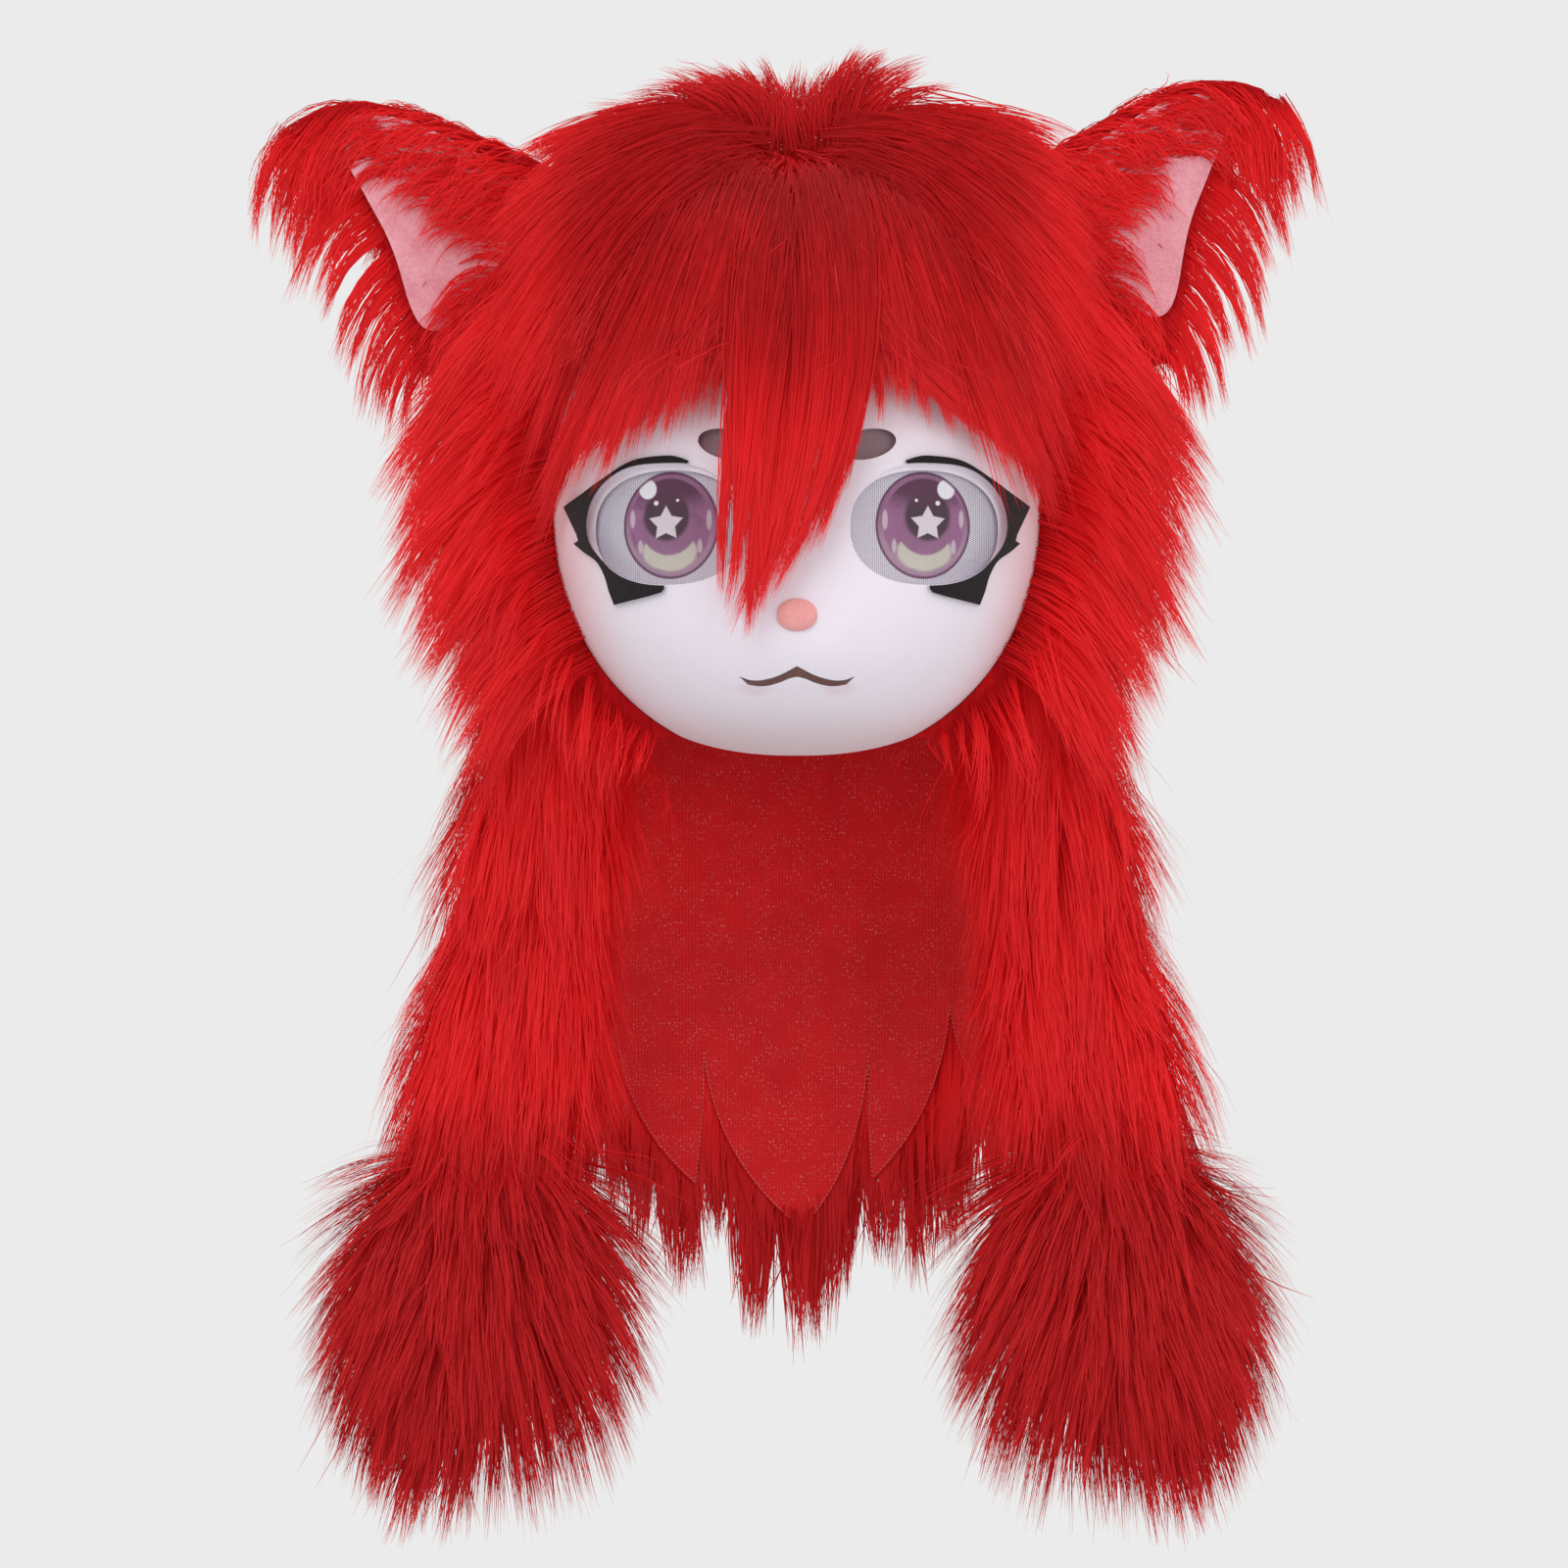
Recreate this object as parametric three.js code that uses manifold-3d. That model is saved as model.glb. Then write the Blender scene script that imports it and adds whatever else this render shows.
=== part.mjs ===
// A long-haired cat fursuit head: a white face shell, a hollow hood under a deep coat of locks, sideways ears,
// bangs, two long flaps that end in stuffed paws, and a lobed cape at the nape.
// Millimetres, +Z up. The face looks along -Y, and left and right are the viewer's.
// Heights are measured from the bottom of the head form. The whole group is then lowered, so that the origin
// is the crown seat: the top of the hollow, where the head bears on its wearer.
import * as THREE from "three";
import { LoftGeometry } from "three/addons/geometries/LoftGeometry.js";
import { mergeVertices } from "three/addons/utils/BufferGeometryUtils.js";
import Module from "manifold-3d";

const wasm = await Module();
wasm.setup();

// Head form
const FACE_WIDTH = 254;
const HEAD_HEIGHT = 308;
const WIDEST_HEIGHT = 132;
const FACE_DEPTH = 130;
const NAPE_DEPTH = 145;
const FACE_WALL = 4.5;
const HOOD_WALL = 5;
const FACE_EDGE = 30;
const HAIRLINE = 205;
const MUZZLE_OUT = 8;
const MUZZLE_HEIGHT = 52;
const MUZZLE_SPREAD = 40;
const MUZZLE_RISE = 30;
const NECK_FRONT = 62;
const NECK_FRONT_HEIGHT = 4;
const NECK_TILT = 17.5;
const CLEARANCE = 0.3;

// Roundness of the head form's curves: 2 is an ellipse and more is squarer
const SIDE_ROUNDNESS = 2.1;
const CHIN_ROUNDNESS = 3;
const BROW_ROUNDNESS = 2.3;
const NAPE_ROUNDNESS = 2.2;
const FACE_SQUARENESS = 2.5;
const HEAD_SIDES = 24;
const HEAD_RINGS = 12;
const COAT_SIDES = 20;
const COAT_RINGS = 9;

// Face details
const EYE_WIDTH = 75;
const EYE_TALL = 57;
const EYE_OUT = 64;
const EYE_HEIGHT = 118;
const EYE_SQUARENESS = 2.3;
const RIM_WIDTH = 4;
const RIM_DEPTH = 2.2;
const SCREEN = 1.2;
const SCREEN_LAP = 5;
const LASH_THICK = 2;
const BROW_WIDTH = 29;
const BROW_TALL = 15;
const BROW_OUT = 35;
const BROW_HEIGHT = 159;
const NOSE_WIDTH = 20;
const NOSE_TALL = 16;
const NOSE_OUT = 5;
const NOSE_HEIGHT = 74;
const MOUTH_WIDTH = 56;
const MOUTH_TALL = 9;
const MOUTH_HEIGHT = 39.2;
const MOUTH_INLAY = 1.5;

// Fur
const COAT_DEPTH = 20;
const COAT_SWELL = 26;
const SWELL_HEIGHT = 138;
const SWELL_RISE = 78;
const NAPE_SWELL = 0.5;
const LOCK_LENGTH = 92;
const LOCK_WIDTH = 42;
const LOCK_THICK = 16;
const FRINGE_ROOT = 262;
const FRINGE_STAND = 13;
const FRINGE_LOCK = 38;
const TUFT_HEIGHT = 44;
const TUFT_SPREAD = 104;

// Ears
const EAR_LENGTH = 118;
const EAR_WIDTH = 115;
const EAR_THICK = 17;
const EAR_CUP = 15;
const EAR_BACK = 6;
const EAR_TUFT = 66;
const LINING_THICK = 2;

// Flaps and paws
const FLAP_TOP = 104;
const FLAP_LENGTH = 316;
const FLAP_OUT = 124;
const FLAP_SPLAY = 36;
const FLAP_WIDTH = 86;
const FLAP_THICK = 44;
const FLAP_BACK = 8;
const FLAP_LOCK = 74;
const PAW_LENGTH = 176;
const PAW_WIDTH = 134;
const PAW_THICK = 76;
const PAW_LAP = 34;
const PAW_LOCK = 96;
const PAW_SPLAY = 26;

// Cape
const CAPE_WIDTH = 240;
const CAPE_LENGTH = 328;
const CAPE_BACK = 131;
const CAPE_CURVE = 32;
const CAPE_CLOTH = 2;
const CAPE_FUR = 16;
const CAPE_LEAN = 14;
const CAPE_COLUMNS = 8;
const CAPE_LOCK = 88;

// How full a lock is from its root to its tip, as shares of its width and thickness
const LOCK_FULLNESS = [0.9, 1, 0];

// Rows of locks on the hood, as shares of the head's height and of a lock's length and width, with the first
// turn from the front and how far the tips flare, in degrees. Each row is on both sides.
const COAT_ROWS = [
  { height: 0.8, turn: 64, count: 4, length: 1.25, width: 1.3, flare: 46 },
  { height: 0.62, turn: 66, count: 4, length: 1.1, width: 1.3, flare: 32 },
  { height: 0.45, turn: 70, count: 4, length: 1, width: 1.3, flare: 15 },
];

// Locks that sweep from the crown out over the ears' roots, on both sides: the tip's place out, forward and
// above the coat's top, in shares of the half face width
const CROWN_LOCKS = [
  { out: 1.12, ahead: 0.3, above: -0.14, width: 1.3 },
  { out: 1.1, ahead: -0.1, above: -0.08, width: 1.4 },
  { out: 0.95, ahead: -0.55, above: -0.2, width: 1.3 },
];

// Bangs: where each lock's root and tip are across the half face width, how far its tip falls as a share of
// the way from its root to the chin, and its width as a share of a fringe lock's
const FRINGE_LOCKS = {
  fringe_left: [
    { root: -0.22, tip: -0.5, fall: 0.35, width: 1 },
    { root: -0.32, tip: -0.72, fall: 0.37, width: 1 },
    { root: -0.42, tip: -0.9, fall: 0.41, width: 1 },
    { root: -0.55, tip: -0.99, fall: 0.46, width: 0.9 },
  ],
  fringe_center: [
    { root: 0.03, tip: -0.2, fall: 0.76, width: 1.05 },
    { root: -0.1, tip: -0.26, fall: 0.55, width: 0.95 },
    { root: 0.12, tip: 0.14, fall: 0.6, width: 0.95 },
    { root: 0.2, tip: 0.27, fall: 0.5, width: 0.8 },
  ],
  fringe_right: [
    { root: 0.3, tip: 0.52, fall: 0.34, width: 0.95 },
    { root: 0.4, tip: 0.74, fall: 0.38, width: 1 },
    { root: 0.5, tip: 0.9, fall: 0.43, width: 1 },
    { root: 0.6, tip: 0.98, fall: 0.48, width: 0.9 },
  ],
};

// Crown tuft: where each lock's root and tip are across the half spread, and its rise as a share of the height
const TUFT_LOCKS = [
  { root: -0.55, tip: -2, rise: 0.5 },
  { root: -0.4, tip: -1.35, rise: 0.84 },
  { root: -0.18, tip: -0.5, rise: 0.96 },
  { root: 0.12, tip: 0.25, rise: 1 },
  { root: 0.32, tip: 1.1, rise: 1 },
  { root: 0.45, tip: 1.45, rise: 0.72 },
];

// Where each ear's middle stands, and its tilt above the level in degrees. The two are not alike.
const EARS = {
  left: { out: 157, height: 267, tilt: 31 },
  right: { out: 151, height: 270, tilt: 38 },
};

// Ear sections: shares of its length, of its width for the middle's rise and the half width, and of its
// thickness, and how far the section folds forward as a share of the length
const EAR_SECTIONS = [
  { along: -0.5, rise: 0.06, half: 0.42, thick: 1, forward: 0 },
  { along: 0, rise: 0, half: 0.48, thick: 1, forward: 0 },
  { along: 0.22, rise: 0.04, half: 0.41, thick: 1, forward: 0 },
  { along: 0.43, rise: 0.09, half: 0.33, thick: 0.95, forward: 0.01 },
  { along: 0.64, rise: 0.13, half: 0.235, thick: 0.85, forward: 0.04 },
  { along: 0.83, rise: 0.14, half: 0.15, thick: 0.75, forward: 0.1 },
  { along: 0.97, rise: 0.08, half: 0.08, thick: 0.6, forward: 0.17 },
  { along: 1.04, rise: 0.0, half: 0.03, thick: 0.4, forward: 0.21 },
];
const LINING_REACH = 0.8;
const LINING_SHARE = 0.8;

// Tufts that hang from the ear: root along the ear and across its half width, then the tip's way from there
// as shares of a tuft's length
const EAR_TUFTS = [
  { along: 0.1, across: -0.9, out: 0.28, down: 0.8, width: 0.9 },
  { along: 0.27, across: -0.9, out: 0.42, down: 0.85, width: 0.9 },
  { along: 0.45, across: -0.85, out: 0.55, down: 0.88, width: 0.85 },
  { along: 0.62, across: -0.8, out: 0.55, down: 0.9, width: 0.85 },
  { along: 0.8, across: -0.6, out: 0.42, down: 0.92, width: 0.8 },
  { along: 0.95, across: 0, out: 0.3, down: 0.9, width: 0.7 },
];

// Flap sections from the top down: shares of its length, splay, width and thickness
const FLAP_SECTIONS = [
  { down: 0, out: 0, width: 0.74, thick: 0.7 },
  { down: 0.22, out: 0.08, width: 0.9, thick: 1 },
  { down: 0.5, out: 0.34, width: 1, thick: 1 },
  { down: 0.76, out: 0.7, width: 1.12, thick: 1 },
  { down: 1, out: 1, width: 1.18, thick: 0.9 },
];
const FLAP_ROWS = [
  { down: 0.42, count: 5, length: 1, width: 1.2, flare: 12 },
  { down: 0.8, count: 5, length: 1, width: 1.25, flare: 20 },
];

// Paw sections from the top down: shares of its length, width and thickness
const PAW_SECTIONS = [
  { down: 0, width: 0.5, thick: 0.5 },
  { down: 0.2, width: 0.92, thick: 0.9 },
  { down: 0.55, width: 1, thick: 1 },
  { down: 0.82, width: 0.74, thick: 0.8 },
  { down: 1, width: 0.3, thick: 0.3 },
];
const PAW_ROWS = [
  { down: 0.3, count: 7, length: 0.9, width: 1, flare: 40 },
  { down: 0.66, count: 6, length: 1, width: 1.05, flare: 20 },
];

// The cape's pointed lobes from left to right: shares of its half width and of its length
const CAPE_EDGE_DOWN = 0.52;
const CAPE_LOBES = [
  { tip: [-0.96, 0.8], notch: [-0.82, 0.66] },
  { tip: [-0.46, 0.92], notch: [-0.42, 0.705] },
  { tip: [0.03, 1], notch: [0.33, 0.715] },
  { tip: [0.35, 0.915], notch: [0.7, 0.625] },
  { tip: [0.92, 0.79] },
];
const CAPE_FUR_DOWN = 0.8;
const CAPE_HEM_MIDDLE = 1.18;
const CAPE_HEM_SIDE = 1.05;
const CAPE_ROWS = [
  { down: 0.36, count: 5, length: 1, flare: 16 },
];
const CAPE_TIPS = 9;

// The mouth line: upper and lower edge from the middle out, as shares of its half width and of its height
const MOUTH_UPPER = [[0, 1], [0.31, 0.5], [0.61, 0.24], [0.82, 0.25], [1, 0.46]];
const MOUTH_LOWER = [[0.85, 0.09], [0.61, 0], [0.37, 0.13], [0.14, 0.41], [0, 0.52]];

// The lash's outer edge from its upper inner end to its lower end, as shares of the eye's half width and height
const LASH_TOP = [[-0.27, 1.08], [-0.13, 1.15], [0.06, 1.17], [0.5, 1.1], [0.93, 0.82], [1.18, 0.62]];
const LASH_SPIKES = [[1.46, 0.45], [1.27, -0.06], [1.245, -0.175], [1.312, -0.218]];
const LASH_LOW = [[1.17, -0.38], [0.99, -0.56], [0.88, -0.82], [0.82, -1.09]];
const LASH_FOOT = [[0.75, -1.33], [0.28, -1.2], [0.1, -1.135], [0.065, -1.075]];

const FAR = 600;
const degrees = (angle) => THREE.MathUtils.degToRad(angle);
const lerp = THREE.MathUtils.lerp;
const signedPower = (value, power) => Math.sign(value) * Math.abs(value) ** power;
const roundOff = (share, power) => Math.max(0, 1 - share ** power) ** (1 / power);

// Solids: a closed geometry becomes a manifold that can be joined and cut, and turns into a mesh at the end.

function solid(geometry) {
  const bare = new THREE.BufferGeometry().copy(geometry);
  bare.deleteAttribute("normal");
  bare.deleteAttribute("uv");
  const merged = mergeVertices(bare, 1e-3);
  const corners = [];
  for (let i = 0; i < merged.index.count; i += 3) {
    const [a, b, c] = merged.index.array.subarray(i, i + 3);
    if (a !== b && b !== c && c !== a) corners.push([a, b, c]);
  }
  const build = (triangles) => new wasm.Manifold(new wasm.Mesh({
    numProp: 3,
    vertProperties: merged.attributes.position.array,
    triVerts: new Uint32Array(triangles.flat()),
  }));
  const made = build(corners);
  return made.volume() < 0 ? build(corners.map(([a, b, c]) => [a, c, b])) : made;
}

// A closed body through rings of points, which may run round it either way. The last ring may be a single point.
function loft(rings) {
  const middle = (ring) => ring.reduce((sum, point) => sum.add(point), new THREE.Vector3()).divideScalar(ring.length);
  const [first, second] = [middle(rings[0]), middle(rings[1])];
  const turn = new THREE.Vector3();
  rings[0].forEach((point, i) => {
    const next = rings[0][(i + 1) % rings[0].length];
    turn.add(point.clone().sub(first).cross(next.clone().sub(first)));
  });
  const ordered = turn.dot(second.sub(first)) > 0 ? rings : rings.map((ring) => [...ring].reverse());
  const end = ordered[ordered.length - 1];
  return solid(new LoftGeometry(ordered, { capStart: true, capEnd: end[0].distanceTo(end[1]) > 1e-6 }));
}

function fuse(solids) {
  return solids.reduce((sum, next) => sum.add(next));
}

function carve(body, ...cutters) {
  return cutters.reduce((left, cutter) => left.subtract(cutter), body);
}

// The largest of the bodies that a cut leaves.
function mainBody(cut) {
  return cut.decompose().reduce((big, next) => (next.volume() > big.volume() ? next : big));
}

function meshOf(name, body, material) {
  const data = mainBody(body).getMesh();
  const geometry = new THREE.BufferGeometry();
  const points = new Float32Array(data.numVert * 3);
  for (let i = 0; i < data.numVert; i++) {
    points.set(data.vertProperties.subarray(i * data.numProp, i * data.numProp + 3), i * 3);
  }
  geometry.setAttribute("position", new THREE.BufferAttribute(points, 3));
  geometry.setIndex(new THREE.BufferAttribute(data.triVerts, 1));
  geometry.computeVertexNormals();
  const mesh = new THREE.Mesh(geometry, material);
  mesh.name = name;
  return mesh;
}

function mirrored(body) {
  const flip = new THREE.Matrix4().makeScale(-1, 1, 1);
  return body.transform(flip.toArray());
}

function asDrawn(body) {
  return body;
}

function box(low, high) {
  const size = new THREE.Vector3().subVectors(high, low);
  const middle = new THREE.Vector3().addVectors(low, high).multiplyScalar(0.5);
  return solid(new THREE.BoxGeometry(size.x, size.y, size.z).translate(middle.x, middle.y, middle.z));
}

// A shape drawn as seen from the front, pushed through from one depth to another.
function pushThrough(shape, front, back) {
  const geometry = new THREE.ExtrudeGeometry(shape, { depth: back - front, bevelEnabled: false, curveSegments: 3 });
  geometry.rotateX(Math.PI / 2);
  return solid(geometry.translate(0, back, 0));
}

function superellipse(width, height, power, middle = [0, 0], tilt = 0, points = 18) {
  const outline = [];
  for (let i = 0; i < points; i++) {
    const angle = (i / points) * 2 * Math.PI;
    const x = (width / 2) * signedPower(Math.cos(angle), 2 / power);
    const z = (height / 2) * signedPower(Math.sin(angle), 2 / power);
    outline.push(new THREE.Vector2(x, z).rotateAround(new THREE.Vector2(), degrees(tilt))
      .add(new THREE.Vector2(...middle)));
  }
  return new THREE.Shape(outline);
}

// Head form: an egg with a squarer face and a soft muzzle. Every wall, coat and inlay follows it at an offset.

function headSection(height, grow) {
  const below = height < WIDEST_HEIGHT;
  const reach = (below ? WIDEST_HEIGHT : HEAD_HEIGHT - WIDEST_HEIGHT) + grow;
  const rise = Math.min(1, Math.abs(height - WIDEST_HEIGHT) / reach);
  return {
    side: (FACE_WIDTH / 2 + grow) * roundOff(rise, SIDE_ROUNDNESS),
    front: (FACE_DEPTH + grow) * roundOff(rise, below ? CHIN_ROUNDNESS : BROW_ROUNDNESS),
    back: (NAPE_DEPTH + grow) * roundOff(rise, NAPE_ROUNDNESS),
  };
}

function muzzle(x, height, front) {
  const away = (x / MUZZLE_SPREAD) ** 2 + ((height - MUZZLE_HEIGHT) / MUZZLE_RISE) ** 2;
  return MUZZLE_OUT * Math.exp(-away) * (front / FACE_DEPTH);
}

// A point on the form, at a turn from the front towards +X.
function headPoint(turn, height, grow) {
  const { side, front, back } = headSection(height, grow);
  const ahead = Math.cos(turn) > 0;
  const power = 2 / (ahead ? FACE_SQUARENESS : 2);
  const x = side * signedPower(Math.sin(turn), power);
  const y = -(ahead ? front : back) * signedPower(Math.cos(turn), power);
  return new THREE.Vector3(x, y - (ahead ? muzzle(x, height, front) : 0), height);
}

// How far forward the form's face is at a place seen from the front.
function faceY(x, height, grow) {
  const { side, front } = headSection(height, grow);
  const share = Math.min(0.97, Math.abs(x) / side);
  return -front * roundOff(share, FACE_SQUARENESS) - muzzle(x, height, front);
}

const forms = new Map();
function headForm(grow) {
  if (!forms.has(grow)) {
    const sections = [];
    for (let ring = 0; ring <= HEAD_RINGS; ring++) {
      const rise = Math.sin(((ring / HEAD_RINGS) - 0.5) * Math.PI);
      const reach = (rise < 0 ? WIDEST_HEIGHT : HEAD_HEIGHT - WIDEST_HEIGHT) + grow;
      const height = WIDEST_HEIGHT + rise * reach;
      sections.push(Array.from({ length: HEAD_SIDES }, (_, i) =>
        headPoint((i / HEAD_SIDES) * 2 * Math.PI, height, grow)));
    }
    forms.set(grow, solid(new LoftGeometry(sections)));
  }
  return forms.get(grow);
}

// Everything below the slanting neck opening, lowered by a gap.
function belowNeck(gap) {
  const geometry = new THREE.BoxGeometry(2 * FAR, 2 * FAR, FAR).translate(0, 0, -FAR / 2 - gap);
  geometry.rotateX(degrees(NECK_TILT)).translate(0, -NECK_FRONT, NECK_FRONT_HEIGHT);
  return solid(geometry);
}

function neckHeight(y) {
  return NECK_FRONT_HEIGHT + (y + NECK_FRONT) * Math.tan(degrees(NECK_TILT));
}

// The part of space that the face shell takes: in front of its rear edge and below the hairline.
function faceZone(gap) {
  return box(new THREE.Vector3(-FAR, -FAR, -FAR), new THREE.Vector3(FAR, gap - FACE_EDGE, HAIRLINE + gap));
}

// The head shell's outside, with its neck closed by the slanting plane, for cutting what leans on it.
const headBlock = carve(headForm(CLEARANCE), belowNeck(CLEARANCE));

// Locks: a lock is a flat tapering body along a path.

function lock(path, across, width, thick, grow = 0) {
  const last = LOCK_FULLNESS.length - 1;
  const sections = LOCK_FULLNESS.map((full, step) => {
    const middle = path.getPoint(step / last);
    const along = path.getTangent(step / last);
    const through = new THREE.Vector3().crossVectors(across, along).normalize();
    const wide = new THREE.Vector3().crossVectors(along, through).multiplyScalar((width / 2) * full + grow);
    through.multiplyScalar((thick / 2) * full + grow);
    return [wide, through, wide.clone().negate(), through.clone().negate()]
      .map((arm) => arm.clone().add(middle));
  });
  return loft(sections);
}

// A lock that leaves its root along a surface, falls, and flares outwards at its tip.
function hangingLock(root, outward, length, width, thick, flare, grow = 0) {
  const down = new THREE.Vector3(0, 0, -1);
  const reach = length + grow;
  const bend = root.clone().addScaledVector(down, reach * 0.45)
    .addScaledVector(outward, reach * 0.55 * Math.sin(degrees(flare)));
  const tip = root.clone().addScaledVector(down, reach * Math.cos(degrees(flare)))
    .addScaledVector(outward, reach * Math.sin(degrees(flare)));
  const across = new THREE.Vector3().crossVectors(down, outward).normalize();
  return lock(new THREE.QuadraticBezierCurve3(root, bend, tip), across, width, thick, grow);
}

// Every second lock of a row is a little shorter.
function stagger(index) {
  return index % 2 ? 0.86 : 1;
}

// Hood fur: a coat round the hood with rows of locks.

// A point of the coat: the head form grown by the coat's depth, and swelling at the sides and less at the back.
function coatPoint(turn, height, grow) {
  const round = Math.sin(turn) ** 2 + NAPE_SWELL * Math.max(0, -Math.cos(turn)) ** 2;
  const swell = COAT_SWELL * round * Math.exp(-(((height - SWELL_HEIGHT) / SWELL_RISE) ** 2));
  return headPoint(turn, height, COAT_DEPTH + grow)
    .add(new THREE.Vector3(swell * Math.sin(turn), -swell * Math.cos(turn), 0));
}

function coatForm(grow) {
  const sections = [];
  for (let ring = 0; ring <= COAT_RINGS; ring++) {
    const rise = Math.sin(((ring / COAT_RINGS) - 0.5) * Math.PI);
    const reach = (rise < 0 ? WIDEST_HEIGHT : HEAD_HEIGHT - WIDEST_HEIGHT) + COAT_DEPTH + grow;
    const height = WIDEST_HEIGHT + rise * reach;
    sections.push(Array.from({ length: COAT_SIDES }, (_, i) => coatPoint((i / COAT_SIDES) * 2 * Math.PI, height,
      grow)));
  }
  return solid(new LoftGeometry(sections, { capStart: true, capEnd: true }));
}

function coatRow(row, grow) {
  const made = [];
  for (let i = 0; i < row.count; i++) {
    const turn = degrees(lerp(row.turn, 180, (i + 0.5) / row.count));
    for (const side of [-1, 1]) {
      const root = coatPoint(side * turn, row.height * HEAD_HEIGHT, -LOCK_THICK / 2);
      const outward = new THREE.Vector3(side * Math.sin(turn), -Math.cos(turn), 0);
      made.push(hangingLock(root, outward, LOCK_LENGTH * row.length * stagger(i), LOCK_WIDTH * row.width,
        LOCK_THICK, row.flare, grow));
    }
  }
  return made;
}

function crownSweep({ out, ahead, above, width }, side, grow) {
  const half = FACE_WIDTH / 2;
  const top = HEAD_HEIGHT + COAT_DEPTH;
  const root = new THREE.Vector3(side * 0.2 * half, -0.4 * ahead * half, top - LOCK_THICK);
  const tip = new THREE.Vector3(side * out * half, -ahead * half, top + above * half);
  const bend = new THREE.Vector3(side * 0.8 * half, -0.8 * ahead * half, top + LOCK_THICK);
  const across = new THREE.Vector3(-ahead, -side * out, 0).normalize();
  return lock(new THREE.QuadraticBezierCurve3(root, bend, tip), across, LOCK_WIDTH * width, LOCK_THICK * 2, grow);
}

function hoodCoat(grow) {
  const body = carve(coatForm(grow), belowNeck(grow), faceZone(CLEARANCE - grow));
  const sweeps = CROWN_LOCKS.flatMap((row) => [-1, 1].map((side) => crownSweep(row, side, grow)));
  return fuse([body, ...COAT_ROWS.flatMap((row) => coatRow(row, grow)), ...sweeps]);
}

// Bangs and crown tuft

function fringeLock({ root, tip, fall, width }, grow) {
  const tipHeight = FRINGE_ROOT * (1 - fall);
  const points = [0, 0.3, 0.62, 1].map((share) => {
    const height = lerp(FRINGE_ROOT, tipHeight, share);
    const limit = headSection(height, COAT_DEPTH).side;
    const x = THREE.MathUtils.clamp(lerp(root, tip, share ** 0.8) * (FACE_WIDTH / 2), -limit, limit);
    const stand = lerp(COAT_DEPTH + LOCK_THICK / 3, FRINGE_STAND, THREE.MathUtils.smoothstep(share, 0.1, 0.9));
    return new THREE.Vector3(x, faceY(x, height, stand), height);
  });
  const path = new THREE.CatmullRomCurve3(points);
  return lock(path, new THREE.Vector3(1, 0, 0), FRINGE_LOCK * width, LOCK_THICK, grow);
}

function fringe(rows, grow) {
  return fuse(rows.map((row) => fringeLock(row, grow)));
}

function crownTuft(grow) {
  const base = HEAD_HEIGHT + COAT_DEPTH;
  return fuse(TUFT_LOCKS.map(({ root, tip, rise }) => {
    const start = new THREE.Vector3((root * TUFT_SPREAD) / 4, 0, base - LOCK_THICK);
    const end = new THREE.Vector3((tip * TUFT_SPREAD) / 2, -COAT_DEPTH / 2, base - 14 + TUFT_HEIGHT * rise);
    const bend = new THREE.Vector3(lerp(start.x, end.x, 0.35), 0, lerp(start.z, end.z, 0.9));
    const path = new THREE.QuadraticBezierCurve3(start, bend, end);
    return lock(path, new THREE.Vector3(0, 1, 0), LOCK_WIDTH * 0.7, LOCK_THICK, grow);
  }));
}

// Ears. An ear is made in its own plane, with its length along `axis` and its width along `up`, for the right side.

function earFrame({ out, height, tilt }) {
  const angle = degrees(tilt);
  return {
    axis: new THREE.Vector3(Math.cos(angle), 0, Math.sin(angle)),
    up: new THREE.Vector3(-Math.sin(angle), 0, Math.cos(angle)),
    base: new THREE.Vector3(out, EAR_BACK, height),
  };
}

// A point of the ear at a place along it and across its half width, moved back by a depth.
function earPoint(frame, section, across, depth) {
  const cup = EAR_CUP * across * across * (section.half / EAR_SECTIONS[0].half);
  return frame.base.clone()
    .addScaledVector(frame.axis, section.along * EAR_LENGTH)
    .addScaledVector(frame.up, (section.rise + section.half * across) * EAR_WIDTH)
    .add(new THREE.Vector3(0, depth - cup - section.forward * EAR_LENGTH, 0));
}

function sectionAt(along) {
  const next = Math.max(1, EAR_SECTIONS.findIndex((section) => section.along >= along));
  const [a, b] = [EAR_SECTIONS[next - 1], EAR_SECTIONS[next]];
  const share = (along - a.along) / (b.along - a.along);
  const mix = (column) => lerp(a[column], b[column], share);
  return { along, rise: mix("rise"), half: mix("half"), thick: mix("thick"), forward: mix("forward") };
}

// A loft through ear sections, as a flat ring of points each.
function earLoft(frame, sections, share, thick, depth, grow) {
  const sides = 8;
  const rings = sections.map((section) => Array.from({ length: sides }, (_, i) => {
    const angle = (i / sides) * 2 * Math.PI;
    const across = Math.cos(angle) * (share + grow / (section.half * EAR_WIDTH));
    return earPoint(frame, section, across, depth + (thick * section.thick / 2 + grow) * Math.sin(angle));
  }));
  return loft(rings);
}

function earTuft(frame, { along, across, out, down, width }, grow) {
  const root = earPoint(frame, sectionAt(along), across, EAR_THICK / 6);
  const bend = root.clone().add(new THREE.Vector3(out * 0.8, -0.12, -down * 0.25).multiplyScalar(EAR_TUFT));
  const tip = root.clone().add(new THREE.Vector3(out, -0.1, -down).multiplyScalar(EAR_TUFT));
  const path = new THREE.QuadraticBezierCurve3(root, bend, tip);
  return lock(path, frame.axis, (LOCK_WIDTH / 2) * width, LOCK_THICK / 2, grow);
}

function ear(side, grow) {
  const frame = earFrame(EARS[side]);
  const body = earLoft(frame, EAR_SECTIONS, 1, EAR_THICK, 0, grow);
  return fuse([body, ...EAR_TUFTS.map((tuft) => earTuft(frame, tuft, grow))]);
}

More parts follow.
